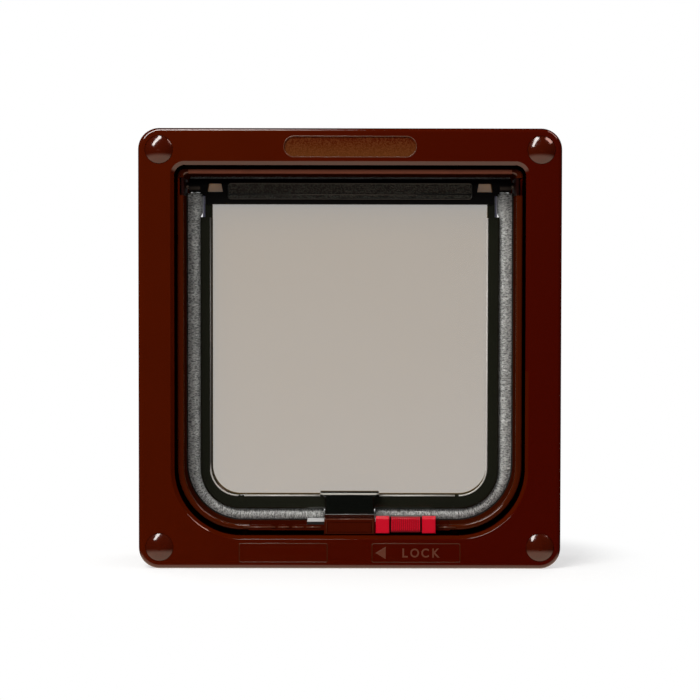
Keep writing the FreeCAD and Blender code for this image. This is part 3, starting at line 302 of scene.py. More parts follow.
@dataclass(frozen=True)
class MouldedPlastic:
    """Moulded plastic with a faint mottle, uneven polish and a fine skin."""

    name: str
    colour: Colour
    roughness: float
    mottle: float = 0.08
    cloud_size: float = 18 * MM
    polish: float = 0.04
    polish_size: float = 6 * MM
    skin_size: float = 0.35 * MM
    skin_depth: float = 0.004 * MM
    specular: float = 0.5
    gloss: float = 0.0
    # Second, darker and redder brown painted toward the lower right: painted shade.
    right: Colour | None = None
    zones: tuple[Zone, ...] = ()
    plate: tuple[float, float, float, float] | None = None

    def material(self) -> bpy.types.Material:
        """Build the material."""
        material, nodes = new_material(self.name)
        cloud = nodes.noise(self.cloud_size, 3.0)
        fine = nodes.noise(self.skin_size)
        colour = nodes.blend(
            cloud, shaded(self.colour, 1 - self.mottle), shaded(self.colour, 1 + self.mottle))
        # Painted shade: toward the lower right the colour shifts to the darker, redder brown given as right.
        if self.right:
            across, _, up = nodes.axes(nodes.place())
            painted_right_shade = (across - (up - 100 * MM) * 0.35).step(-110 * MM, 110 * MM)
            colour = nodes.blend(painted_right_shade, colour, self.right)
        roughness = self.roughness + (nodes.noise(self.polish_size) - 0.5) * self.polish
        normal = nodes.bump(fine, self.skin_depth)
        gloss = self.gloss
        for zone in self.zones:
            inside = zone.mask(nodes)
            colour = nodes.blend(inside, colour, zone.colour(self.colour))
            roughness = roughness + inside * zone.roughness
            gloss = gloss * (1 - inside) if self.gloss else 0.0
        if self.plate:
            low_x, high_x, low_z, high_z = self.plate
            across, deep, up = nodes.axes(nodes.place())
            inside = across.band(low_x, high_x, 0.2 * MM) * up.band(low_z, high_z, 0.2 * MM)
            inside = inside * deep.step(FRONT + 0.45 * MM, FRONT + 0.55 * MM)
            inside = inside * (1 - deep.step(FRONT + 0.7 * MM, FRONT + 0.8 * MM))
            sparkle = nodes.noise(0.45 * MM, 3.0)
            normal = nodes.bump(fine * 0.1 + sparkle * inside, 0.12 * MM, 0.7)
            roughness = roughness + inside * 0.15
            # Painted light: the name plate's floor is painted lighter toward its lower edge.
            plate_painted_light = 1 - up.step(low_z, high_z)
            colour = nodes.blend(inside * plate_painted_light, colour, (0.115, 0.031, 0.006))
            grain = nodes.noise(0.5 * MM).step(0.42, 0.60)
            colour = nodes.blend(inside * grain * 0.55, colour, (0.165, 0.048, 0.014))
        nodes.finish(nodes.surface({
            "Base Color": colour, "Roughness": roughness, "Normal": normal,
            "Specular IOR Level": self.specular, "Coat Weight": gloss, "Coat Roughness": 0.08}))
        return material


@dataclass(frozen=True)
class GrainedPlastic:
    """Dark plastic with a pebbled grain."""

    name: str
    colour: Colour
    light: Colour
    grain_size: float = 0.62 * MM
    grain_depth: float = 0.09 * MM
    speck_size: float = 0.25 * MM
    roughness: float = 0.42

    def material(self) -> bpy.types.Material:
        """Build the material."""
        material, nodes = new_material(self.name)
        warp = nodes.add("ShaderNodeVectorMath", {"operation": "ADD"}, {
            0: nodes.place(),
            1: nodes.add("ShaderNodeVectorMath", {"operation": "SCALE"},
                         {0: nodes.add("ShaderNodeTexNoise", inputs={"Scale": 1500.0}, out="Color"),
                          "Scale": 0.25 * MM})})
        cells = nodes.add("ShaderNodeTexVoronoi", {"feature": "SMOOTH_F1"},
                          {"Vector": warp, "Scale": 1.0 / self.grain_size, "Smoothness": 0.4}, out="Distance")
        pebble = 1 - cells.step(0.1, 0.75)
        speck = nodes.noise(self.speck_size)
        nodes.finish(nodes.surface({
            "Base Color": nodes.blend(pebble * speck, self.colour, self.light),
            "Roughness": self.roughness + (speck - 0.5) * 0.2,
            "Normal": nodes.bump(pebble + speck * 0.3, self.grain_depth)}))
        return material


@dataclass(frozen=True)
class SmokedSheet:
    """Clear plastic with a smoke tint; it can be painted lighter lower down, and its cut edges can carry a
    painted bluish refraction band and a painted pale highlight.
    """

    name: str
    colour: Colour
    alpha: float
    roughness: float = 0.05
    painted_light_slope: float = 0.0
    edge: float = 0.0
    edge_highlight: Colour = (0.34, 0.34, 0.38)
    edge_refraction: Colour = (0.035, 0.032, 0.12)

    def material(self) -> bpy.types.Material:
        """Build the material."""
        material, nodes = new_material(self.name)
        cloud = nodes.noise(40 * MM)
        colour = nodes.blend(cloud, shaded(self.colour, 0.97), shaded(self.colour, 1.03))
        across, _, up = nodes.axes(nodes.place())
        # Painted light: the sheet is made more see-through lower down, so it reads lighter toward the bottom.
        alpha = self.alpha + (cloud - 0.5) * 0.01 + (up - 100 * MM) * self.painted_light_slope
        streak = nodes.noise(9 * MM, 3.0, nodes.stretched((1.0, 1.0, 0.15)))
        roughness = self.roughness + (streak - 0.5) * 0.03
        # Painted refraction and painted highlight: near the cut edge a dark bluish band, more opaque and
        # rougher, and a pale line on the edge itself.
        if self.edge:
            out = abs(across)
            blue = out.step(self.edge - 1.5 * MM, self.edge - 1.2 * MM)
            pale = out.step(self.edge - 0.5 * MM, self.edge - 0.3 * MM)
            colour = nodes.blend(pale, nodes.blend(blue, colour, self.edge_refraction), self.edge_highlight)
            alpha = alpha.highest(blue * 0.82)
            roughness = roughness + blue * 0.5
        nodes.finish(nodes.surface({"Base Color": colour, "Alpha": alpha, "Roughness": roughness}))
        return material


@dataclass(frozen=True)
class Fibre:
    """Pile fibres with lighter and darker strands; with a corner given, painted shade darkens them toward
    their tips.
    """

    name: str
    dark: Colour
    light: Colour
    strand: float = 0.35 * MM
    corner: tuple[float, float] = (0.0, 0.0)
    # Reach from the corner's middle over which the painted tip shade lifts to full brightness.
    tip: tuple[float, float] = (0.0, 0.0)

    def material(self) -> bpy.types.Material:
        """Build the material."""
        material, nodes = new_material(self.name)
        tuft = nodes.noise(2.2 * MM).step(0.25, 0.75)
        where, shade = nodes.place(), 1.0
        if self.corner[0]:
            across, deep, up = nodes.axes(where)
            out_x = (abs(across) - self.corner[0]).highest(0.0)
            out_z = (self.corner[1] - up).highest(0.0)
            reach = out_x.maths("SQRT", out_x * out_x + out_z * out_z)
            turn = out_z.maths("ARCTAN2", out_z, out_x) * 22 * MM
            along = (up - self.corner[1]).highest(0.0) - turn - (self.corner[0] - abs(across)).highest(0.0)
            where = nodes.add("ShaderNodeCombineXYZ", inputs={0: along, 1: deep, 2: reach * 0.35})
            # Painted shade: fibres are painted darker toward their tips, next to the flap's rim.
            shade = reach.step(*self.tip) * 0.6 + 0.4
        strand = nodes.noise(self.strand, 2.0, where).step(0.41, 0.53)
        share = (strand * 0.85 + tuft * 0.15) * shade
        nodes.finish(nodes.surface({
            "Base Color": nodes.blend(share, self.dark, self.light),
            "Roughness": 0.75 - strand * 0.25,
            "Sheen Weight": 0.75, "Sheen Roughness": 0.4}))
        return material


@dataclass(frozen=True)
class Woven:
    """Plain weave of a backing strip."""

    name: str
    colour: Colour
    thread: float = 0.5 * MM

    def material(self) -> bpy.types.Material:
        """Build the material."""
        material, nodes = new_material(self.name)
        across, deep, up = nodes.axes(nodes.place())
        turn = 2 * math.pi / self.thread
        warp = (across + up).maths("SINE", (across + up) * turn)
        weft = deep.maths("SINE", deep * turn)
        height = (warp * weft) * 0.5 + 0.5
        nodes.finish(nodes.surface({
            "Base Color": nodes.blend(height, shaded(self.colour, 0.55), shaded(self.colour, 1.5)),
            "Roughness": 0.9 - height * 0.15,
            "Normal": nodes.bump(height, 0.12 * MM)}))
        return material


@dataclass(frozen=True)
class PlatedMetal:
    """Plated metal with fine drawn lines."""

    name: str
    colour: Colour
    roughness: float
    lines: Triple = (0.05, 1.0, 1.0)
    metallic: float = 1.0
    zones: tuple[Zone, ...] = ()

    def material(self) -> bpy.types.Material:
        """Build the material."""
        material, nodes = new_material(self.name)
        drawn = nodes.noise(0.12 * MM, 3.0, nodes.stretched(self.lines))
        spangle = nodes.noise(2.5 * MM)
        colour = nodes.blend(spangle, shaded(self.colour, 0.85), shaded(self.colour, 1.1))
        for zone in self.zones:
            colour = nodes.blend(zone.mask(nodes), colour, zone.colour(self.colour))
        nodes.finish(nodes.surface({
            "Base Color": colour,
            "Roughness": self.roughness + (drawn - 0.5) * 0.15,
            "Normal": nodes.bump(drawn, 0.006 * MM), "Metallic": self.metallic}))
        return material


Coating = MouldedPlastic | GrainedPlastic | SmokedSheet | Fibre | Woven | PlatedMetal


class Finish:
    """Every finish of the flap, by what it is used on."""

    frame_brown = MouldedPlastic(
        "frame_brown", (0.0720, 0.0060, 0.0001), 0.12, right=(0.0620, 0.0024, 0.0002), specular=0.0,
        gloss=1.0, plate=(-30 * MM, 30 * MM, 186.9 * MM, 196.5 * MM),
        # Painted shade: the collar's inner walls round the liner are painted almost black and rougher.
        zones=(Zone((-80.0, -24.9, 14.8), (80.0, 20.0, 184.8), 0.02, 0.4),
               # Lower part of the opening's lip: rougher, without gloss, and painted slightly darker as
               # painted shade.
               Zone((-82.0, -26.5, 13.0), (82.0, -24.9, 90.0), 0.9, 0.45, 0.1 * MM),
               # Painted shade: the outer half of the top edge's bevel is painted dark and rougher.
               Zone((-89.0, -26.0, 199.0), (89.0, -25.0, 200.5), 0.15, 0.45, 0.15 * MM)))
    cap_brown = MouldedPlastic("cap_brown", (0.0570, 0.0048, 0.0004), 0.13)
    liner_brown = MouldedPlastic(
        "liner_brown", (0.066, 0.0080, 0.0010), 0.30, skin_depth=0.006 * MM, specular=0.0, gloss=1.0,
        # Painted shade: inside the tunnel the liner is painted darker and made rougher.
        zones=(Zone((-80.0, -19.6, 14.0), (80.0, 30.0, 184.0), 0.75, 0.3),
               # Painted light: a lighter brown band painted along the liner's top front edge.
               Zone((-73.6, -22.0, 179.4), (73.6, -19.7, 181.5), 1.0, 0.2, 0.2 * MM, (0.260, 0.080, 0.046)),
               # Painted shade: the strip just above that band is painted almost black.
               Zone((-75.0, -22.0, 181.7), (75.0, -19.0, 185.0), 0.03, 0.3, 0.1 * MM)))
    catch_brown = MouldedPlastic(
        "catch_brown", (0.0570, 0.0050, 0.0008), 0.16, specular=0.0, gloss=1.0,
        # Painted shade: the floor of the cover's shallow groove, inside its outline, is painted darker.
        zones=(Zone((-10.6, -23.52, 15.7), (10.6, -23.38, 21.5), 0.6, soft=0.03 * MM),
               # Painted shade: the tray behind its front edge, either side of the cover, is painted darker
               # and rougher.
               Zone((-62.0, -20.6, 14.0), (-12.2, 6.0, 21.0), 0.8, 0.4),
               Zone((12.2, -20.6, 14.0), (62.0, 6.0, 21.0), 0.8, 0.4)))
    clip_brown = MouldedPlastic(
        "clip_brown", (0.014, 0.0016, 0.0008), 0.40, skin_depth=0.01 * MM, specular=0.1)
    rim_black = MouldedPlastic("rim_black", (0.0140, 0.0145, 0.0092), 0.14, mottle=0.15)
    block_black = MouldedPlastic(
        "block_black", (0.0045, 0.0052, 0.0042), 0.12,
        # Painted highlight: a pale strip painted on the front of the block's crown.
        zones=(Zone((-14.0, -12.0, 32.05), (14.0, -4.0, 32.8), 1.0, 0.2, 0.1 * MM, (0.60, 0.58, 0.52)),))
    lettering = MouldedPlastic("lettering_brown", (0.130, 0.036, 0.018), 0.30)
    # Painted highlight: the trims, outline and tray rails are a lighter brown than the frame, for light
    # caught along those edges.
    highlight_trim_brown = MouldedPlastic("highlight_trim_brown", (0.105, 0.030, 0.014), 0.22)
    # Painted highlight: the pale bead stands for light caught in the clear rim's inner edge; its zone paints
    # the left side darker as painted shade.
    bead = MouldedPlastic(
        "sheet_highlight_bead", (0.62, 0.59, 0.55), 0.35, skin_depth=0.002 * MM,
        zones=(Zone((-76.0, -16.0, 44.0), (-50.0, 8.0, 176.0), 0.12, 0.1, 3.0 * MM),))
    # Painted highlight: grey line along the foot of the black block.
    block_highlight_grey = MouldedPlastic("block_highlight_line", (0.16, 0.16, 0.15), 0.25)
    crimson = MouldedPlastic(
        "crimson", (0.64, 0.0006, 0.0170), 0.30, mottle=0.05, specular=0.25,
        # Painted shade: the ribbed grip is painted darker, for the shade in its grooves.
        zones=(Zone((18.9, -26.35, 15.0), (32.1, -24.4, 24.6), 0.60, 0.2, 0.05 * MM),
               # Painted shade: the narrow gaps either side of the grip are painted almost black.
               Zone((17.95, -26.35, 15.0), (18.9, -23.9, 24.6), 0.06, 0.2, 0.08 * MM),
               Zone((32.1, -26.35, 15.0), (33.0, -23.9, 24.6), 0.06, 0.2, 0.08 * MM),
               # Painted shade: the slider's parts behind its front and below the tooth are painted almost
               # black.
               Zone((11.0, -23.8, 15.0), (41.0, 0.0, 21.6), 0.02, 0.3, 0.08 * MM),
               Zone((11.0, -23.8, 21.6), (41.0, 0.0, 25.0), 1.0, 0.5, 0.08 * MM, (0.17, 0.17, 0.16))))
    grained = GrainedPlastic(
        "grained_black", (0.003, 0.0034, 0.003), (0.064, 0.080, 0.068), 0.75 * MM, 0.14 * MM)
    cover_edge = MouldedPlastic("cover_edge", (0.022, 0.024, 0.022), 0.30)
    label_trim = MouldedPlastic("label_trim", (0.072, 0.014, 0.004), 0.25)
    window = SmokedSheet(
        "smoked_window", (0.216, 0.118, 0.004), 0.405, painted_light_slope=0.3, edge=68.3 * MM)
    bar = MouldedPlastic("bar_black", (0.0042, 0.0042, 0.0045), 0.35, specular=0.15)
    bar_pane = SmokedSheet("smoked_bar", (0.80, 0.38, 0.12), 0.79)
    pile_grey = Fibre("pile_grey", (0.17, 0.17, 0.16), (1.0, 1.0, 0.96), strand=0.5 * MM,
                      corner=(49.25 * MM, 46.0 * MM), tip=(19.5 * MM, 22.0 * MM))
    pile_core = Fibre("pile_core", (0.22, 0.22, 0.21), (1.0, 1.0, 0.97), strand=0.5 * MM,
                      corner=(49.25 * MM, 46.0 * MM), tip=(19.5 * MM, 22.0 * MM))
    pile_dark = Fibre("pile_dark", (0.018, 0.018, 0.018), (0.42, 0.42, 0.41), strand=0.4 * MM)
    backing = Woven("woven_backing", (0.008, 0.008, 0.0075))
    keeper = PlatedMetal(
        "keeper_zinc", (1.0, 1.0, 0.99), 0.40, metallic=0.1,
        # Painted shade: the keeper's front face is painted almost black, so only its top stays bright.
        zones=(Zone((-25.0, -21.0, 15.0), (25.0, -19.55, 24.0), 0.02, soft=0.06 * MM),))
    # Painted shade: the hinge pins are painted dark grey where plated steel would be bright, for the shade of
    # their pockets.
    pin = PlatedMetal("pin_steel_painted_dark", (0.10, 0.10, 0.10), 0.40)
    screw_zinc = PlatedMetal("screw_zinc", (0.58, 0.57, 0.52), 0.30, lines=(1.0, 0.2, 1.0))
    magnet = PlatedMetal("magnet_steel", (0.40, 0.40, 0.41), 0.35)
    brass = PlatedMetal("insert_brass", (0.62, 0.42, 0.16), 0.28)


_MADE: dict[str, bpy.types.Material] = {}


def coat(made: bpy.types.Object, finish: Coating) -> None:
    """Give a piece one finish all over.

    Args:
        made: Mesh object.
        finish: Its finish.
    """
    if finish.name not in _MADE:
        _MADE[finish.name] = finish.material()
    slots = made.data.materials
    if not len(slots):
        slots.append(_MADE[finish.name])
    for index in range(len(slots)):
        slots[index] = _MADE[finish.name]


def coat_nodes(finish: Coating, *names: str) -> None:
    """Give CAD nodes one finish.

    Args:
        finish: Their finish.
        names: The nodes.
    """
    for name in names:
        coat(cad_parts[name], finish)
        LOG.info("node %s: %s", name, finish.name)


def ring_faces(rings: int, count: int, capped: bool = True) -> list:
    """Faces that join rings of points into a skin.

    Args:
        rings: Number of rings.
        count: Points in each ring.
        capped: Whether a face closes each end.

    Returns:
        The faces.
    """
    faces = []
    for start in range(0, (rings - 1) * count, count):
        for index in range(count):
            a, b = start + index, start + (index + 1) % count
            faces.append((a, b, b + count, a + count))
    if capped:
        faces += [range(count)[::-1], range((rings - 1) * count, rings * count)]
    return faces


def rounded_loop(middle: float, half: float, low: float, high: float, radius: float,
                 depth: float) -> np.ndarray:
    """Closed path round a rectangle with round corners, seen from the room.

    Args:
        middle: Middle of the rectangle along X, in millimetres.
        half: Half its width.
        low: Its lowest Z.
        high: Its highest Z.
        radius: Radius of its corners.
        depth: Y of the path, in metres.

    Returns:
        Points along the path, in metres.
    """
    corners = ((half - radius, high - radius, 0.0), (radius - half, high - radius, 90.0),
               (radius - half, low + radius, 180.0), (half - radius, low + radius, 270.0))
    path = []
    for across, up, start in corners:
        for step in range(9):
            turn = math.radians(start + step * 90.0 / 8)
            path.append(((middle + across + radius * math.cos(turn)) * MM, depth,
                         (up + radius * math.sin(turn)) * MM))
    return np.array(path)


class Skin:
    """Corners and faces of one piece while it is put together."""

    def __init__(self, points: Sequence = (), faces: Sequence = ()) -> None:
        """Start from some corners and faces, or from none."""
        self.points: list = []
        self.faces: list = []
        self.add(points, faces)

    def add(self, points: Sequence, faces: Sequence) -> None:
        """Add corners, and faces that count them from 0."""
        first = len(self.points)
        self.points += [tuple(point) for point in points]
        self.faces += [[first + index for index in face] for face in faces]

    def block(self, across: Triple, deep: Triple, up: Triple, bevel: float = 0.15 * MM) -> None:
        """Add a block with beveled edges.

        Args:
            across: Its lowest and highest X.
            deep: Its lowest and highest Y.
            up: Its lowest and highest Z.
            bevel: Size of the bevels.
        """
        points = []
        stack = ((deep[0], bevel), (deep[0] + bevel, 0.0), (deep[1] - bevel, 0.0), (deep[1], bevel))
        for depth, inset in stack:
            low_x, high_x = across[0] + inset, across[1] - inset
            low_z, high_z = up[0] + inset, up[1] - inset
            ring = ((low_x + bevel, low_z), (high_x - bevel, low_z), (high_x, low_z + bevel),
                    (high_x, high_z - bevel), (high_x - bevel, high_z), (low_x + bevel, high_z),
                    (low_x, high_z - bevel), (low_x, low_z + bevel))
            points += [(x, depth, z) for x, z in ring]
        self.add(points, ring_faces(4, 8))

    def tube(self, path: Sequence, radius: float, closed: bool = False) -> None:
        """Add a thin round bead along a path that lies at one depth.

        Args:
            path: Points along the bead's middle.
            radius: Its radius.
            closed: Whether its ends meet.
        """
        path, sides = np.array(path), 8
        before, after = np.roll(path, 1, axis=0), np.roll(path, -1, axis=0)
        if not closed:
            before[0], after[-1] = path[0], path[-1]
        along = after - before
        along /= np.linalg.norm(along, axis=1)[:, None]
        out = np.stack([along[:, 2], np.zeros(len(path)), -along[:, 0]], axis=1)
        points = []
        for place, side in zip(path, out):
            for corner in range(sides):
                turn = 2 * math.pi * corner / sides
                out_step = side * math.cos(turn) + np.array((0.0, math.sin(turn), 0.0))
                points.append(place + radius * out_step)
        faces = ring_faces(len(path), sides, not closed)
        if closed:
            last = (len(path) - 1) * sides
            faces += [(last + index, last + (index + 1) % sides, (index + 1) % sides, index)
                      for index in range(sides)]
        self.add(points, faces)

    def piece(self, name: str, finish: Coating, body: Body, slot: str,
              smooth: bool = True) -> bpy.types.Object:
        """Make the piece and let it ride on a body.

        Args:
            name: Its name.
            finish: Its finish.
            body: Body that it rides on.
            slot: Not used.
            smooth: Whether its faces are shaded smooth.

        Returns:
            The piece.
        """
        mesh = bpy.data.meshes.new(name)
        mesh.from_pydata(np.array(self.points, float).tolist(), [], self.faces)
        mesh.validate()
        mesh.polygons.foreach_set("use_smooth", [smooth] * len(mesh.polygons))
        made = bpy.data.objects.new(name, mesh)
        bpy.context.scene.collection.objects.link(made)
        coat(made, finish)
        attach(made, body.value)
        LOG.info("piece %s: %d faces on %s", name, len(mesh.polygons), body.value)
        return made


@dataclass
class BristleRow:
    """Tapered three-sided fibres, each with a bend at its middle."""

    count: int
    width: float
    seed: int

    def build(self, roots: np.ndarray, tips: np.ndarray, bend: np.ndarray) -> Skin:
        """Make all the fibres at once.

        Args:
            roots: Root of each fibre.
            tips: Tip of each fibre.
            bend: How far each middle is moved.

        Returns:
            Their skin.
        """
        rng = np.random.default_rng(self.seed)
        along = tips - roots
        along /= np.linalg.norm(along, axis=1)[:, None]
        first = np.cross(along, rng.normal(size=along.shape))
        first /= np.linalg.norm(first, axis=1)[:, None]
        second = np.cross(along, first)
        middle = roots + (tips - roots) * 0.55 + bend
        points = np.zeros((self.count, 7, 3))
        for corner in range(3):
            turn = 2 * math.pi * corner / 3
            out = first * math.cos(turn) + second * math.sin(turn)
            points[:, corner] = roots + out * self.width * 0.5
            points[:, 3 + corner] = middle + out * self.width * 0.42
        points[:, 6] = tips
        faces = []
        for start in range(0, self.count * 7, 7):
            a, b, c, d, e, f, g = range(start, start + 7)
            faces += [(a, b, e, d), (b, c, f, e), (c, a, d, f), (d, e, g), (e, f, g), (f, d, g), (c, b, a)]
        return Skin(points.reshape(-1, 3), faces)


@dataclass
class SidePile:
    """Pile seal down one side of the tunnel and along half of its floor."""

    side: Side
    root_half: float = 75.05 * MM
    root_low: float = 20.2 * MM
    corner_x: float = 49.25 * MM
    corner_z: float = 46.0 * MM
    foot_end: float = 11.9 * MM
    top: float = 171.4 * MM
    tip_half: float = 69.6 * MM
    tip_low: float = 24.45 * MM
    free_from: float = 160.6 * MM
    free_half: float = 68.65 * MM
    depth_low: float = -2.75 * MM
    depth_high: float = 1.05 * MM
    fibres: int = 15000
    fibre_width: float = 0.16 * MM

    def spine(self, share: np.ndarray) -> tuple[np.ndarray, np.ndarray, np.ndarray]:
        """Points along the pile's root line.

        Args:
            share: Place along the line, 0 at the top and 1 at the foot's end.

        Returns:
            Root points, inward directions and fibre lengths, in the X-Z plane.
        """
        radius = self.root_half - self.corner_x
        down, turn = self.top - self.corner_z, radius * math.pi / 2
        way = share * (down + turn + self.corner_x - self.foot_end)
        angle = np.clip((way - down) / radius, 0.0, math.pi / 2)
        inward = np.stack([-np.cos(angle), np.sin(angle)], axis=1)
        root_x = self.corner_x + radius * np.cos(angle) - np.clip(way - down - turn, 0.0, None)
        low = self.corner_z - (self.corner_z - self.root_low) * np.sin(angle)
        root_z = np.where(way < down, self.top - way, low)
        side_length, low_length = self.root_half - self.tip_half, self.tip_low - self.root_low
        length = side_length + (low_length - side_length) * angle / (math.pi / 2)
        free = np.clip((root_z - self.free_from) / (0.4 * MM), 0.0, 1.0)
        length = length + free * (self.tip_half - self.free_half)
        return np.stack([root_x, root_z], axis=1), inward, length

    def build(self) -> None:
        """Make the fibres and the dense core between them."""
        rng = np.random.default_rng(41 + self.side.value)
        roots, inward, length = self.spine(rng.uniform(0.0, 1.0, self.fibres))
        depth = rng.uniform(self.depth_low, self.depth_high, self.fibres)
        middle = (self.depth_low + self.depth_high) / 2
        half = (self.depth_high - self.depth_low) / 2
        crown = 1 - 0.03 * ((depth - middle) / half) ** 2
        reach = length * crown * rng.uniform(0.96, 1.065, self.fibres)
        sweep = rng.normal(0.0, 0.8 * MM, self.fibres)
        tangent = np.stack([-inward[:, 1], inward[:, 0]], axis=1)
        tips = roots + inward * reach[:, None] + tangent * sweep[:, None]
        tips[:, 1] = np.minimum(tips[:, 1], self.top + 0.3 * MM)
        across = np.maximum(tips[:, 0], self.foot_end - 0.15 * MM)
        spread = depth - middle + rng.normal(0.0, 0.35 * MM, self.fibres)
        tip_depth = middle + np.clip(spread, -half, half)
        start = np.stack([roots[:, 0] * self.side.value, depth * 0.92 + middle * 0.08, roots[:, 1]], axis=1)
        end = np.stack([across * self.side.value, tip_depth, tips[:, 1]], axis=1)
        bend = rng.normal(0.0, 0.42 * MM, (self.fibres, 3))
        row = BristleRow(self.fibres, self.fibre_width, 97 + self.side.value)
        name = self.side.name.lower()
        made = row.build(start, end, bend).piece(
            f"pile_fibres_{name}", Finish.pile_grey, Body.FRAME, "grey_pile")
        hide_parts(f"side_pile_{name}")
        self.core(name)

    def core(self, name: str) -> None:
        """Make the dense core that carries the fibres' roots.

        Args:
            name: left or right.
        """
        roots, inward, length = self.spine(np.linspace(0.0, 1.0, 90))
        middle = (self.depth_low + self.depth_high) / 2
        profile = [(0.0, -1.55), (0.8, -1.5), (1.0, -1.0), (1.05, 0.0), (1.0, 1.0), (0.8, 1.5), (0.0, 1.55)]
        points = []
        for (x, z), (step_x, step_z), reach in zip(roots, inward, length):
            points += [((x + step_x * reach * out) * self.side.value, middle + deep * MM,
                        z + step_z * reach * out) for out, deep in profile]
        faces = ring_faces(len(roots), len(profile))
        if self.side is Side.LEFT:
            faces = [face[::-1] for face in faces]
        Skin(points, faces).piece(f"pile_core_{name}", Finish.pile_core, Body.FRAME, "grey_pile")


@dataclass
class TopPile:
    """Short dark pile along the top of the hinge bar."""

    half: float = 74.1 * MM
    low: float = 178.1 * MM
    high: float = 179.2 * MM
    depth: float = 1.15 * MM
    fibres: int = 9000
    fibre_width: float = 0.12 * MM

    def build(self) -> None:
        """Make the fibres."""
        rng = np.random.default_rng(7)
        across = rng.uniform(-self.half, self.half, self.fibres)
        depth = PIVOT.y + rng.uniform(-self.depth, self.depth, self.fibres)
        high = self.low + (self.high - self.low) * rng.uniform(0.72, 1.0, self.fibres)
        lean = rng.normal(0.0, 0.12 * MM, (self.fibres, 2))
        roots = np.stack([across, depth, np.full(self.fibres, self.low)], axis=1)
        tip_across = np.clip(across + lean[:, 0], -self.half, self.half)
        tip_depth = np.clip(depth + lean[:, 1], PIVOT.y - self.depth, PIVOT.y + self.depth)
        tips = np.stack([tip_across, tip_depth, high], axis=1)
        bend = rng.normal(0.0, 0.03 * MM, (self.fibres, 3))
        made = BristleRow(self.fibres, self.fibre_width, 8).build(roots, tips, bend).piece(
            "top_pile_fibres", Finish.pile_dark, Body.FLAP, "dark_pile")
        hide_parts("top_pile")


@dataclass
class FrontFrame:
    """Room-side frame with its caps, its name plate and its label panels."""

    letter_front: float = FRONT - 0.04 * MM
    letter_back: float = FRONT + 0.15 * MM
    letter_low: float = 5.2 * MM
    letter_high: float = 9.35 * MM
    letters: dict = field(default_factory=lambda: {
        "L": (24.0 * MM, 26.5 * MM), "O": (27.6 * MM, 31.6 * MM),
        "C": (32.6 * MM, 36.1 * MM), "K": (37.6 * MM, 41.0 * MM)})
    arrow_tip: float = 11.8 * MM
    arrow_base: float = 16.4 * MM
    arrow_low: float = 4.5 * MM
    arrow_high: float = 10.1 * MM
    arrow_slope: float = 0.12 * MM
    plate_loop: tuple = (0.0, 30.0, 186.95, 196.35, 4.6, FRONT + 0.10 * MM)
    label_middles: tuple = (-30.2, 30.2)
    label_loop: tuple = (20.0, 3.08, 11.57, 0.8, FRONT + 0.12 * MM)

    def build(self) -> None:
        """Dress the frame and add the lock's word and arrow."""
        coat_nodes(Finish.frame_brown, "inner_frame")
        coat_nodes(Finish.cap_brown, "screw_caps")
        word = Skin()
        for letter, (left, right) in self.letters.items():
            word.add(*self.letter(letter, left, right))
        word.piece("lock_word", Finish.lettering, Body.FRAME, "brown_gloss", smooth=False)
        self.arrow()
        self.trims()

    def trims(self) -> None:
        """Make the thin raised lines round the name plate and the label panels."""
        plate, labels = Skin(), Skin()
        plate.tube(rounded_loop(*self.plate_loop), 0.24 * MM, True)
        plate.piece("plate_trim", Finish.highlight_trim_brown, Body.FRAME, "brown_gloss")
        for middle in self.label_middles:
            labels.tube(rounded_loop(middle, *self.label_loop), 0.19 * MM, True)
        labels.piece("label_trims", Finish.label_trim, Body.FRAME, "brown_gloss")

    def letter(self, letter: str, left: float, right: float) -> tuple[list, list]:
        """One raised letter.

        Args:
            letter: The letter.
            left: Its left edge.
            right: Its right edge.

        Returns:
            Its corners and faces.
        """
        curve = bpy.data.curves.new(f"letter_{letter}", "FONT")
        curve.body = letter
        curve.extrude = 0.5
        curve.offset = 0.022
        curve.resolution_u = 6
        text = bpy.data.objects.new(f"letter_{letter}", curve)
        mesh = bpy.data.meshes.new_from_object(text)
        raw = np.array([vertex.co for vertex in mesh.vertices])
        share = (raw - raw.min(0)) / (raw.max(0) - raw.min(0))
        points = [(left + (right - left) * across,
                   self.letter_back + (self.letter_front - self.letter_back) * deep,
                   self.letter_low + (self.letter_high - self.letter_low) * up) for across, up, deep in share]
        faces = [list(face.vertices) for face in mesh.polygons]
        bpy.data.objects.remove(text)
        bpy.data.meshes.remove(mesh)
        return points, faces

    def arrow(self) -> None:
        """Make the raised arrow with sloped sides."""
        middle = (self.arrow_low + self.arrow_high) / 2
        outer = [(self.arrow_tip, middle), (self.arrow_base, self.arrow_low),
                 (self.arrow_base, self.arrow_high)]
        centre = np.mean(outer, axis=0)
        inner = [np.array(corner) + (centre - corner) / np.linalg.norm(centre - corner) * self.arrow_slope
                 for corner in outer]
        stack = ((outer, self.letter_back), (outer, self.letter_front + 0.03 * MM),
                 (inner, self.letter_front))
        points = [(x, depth, z) for ring, depth in stack for x, z in ring]
        Skin(points, ring_faces(3, 3)).piece(
            "lock_arrow", Finish.lettering, Body.FRAME, "brown_gloss", smooth=False)


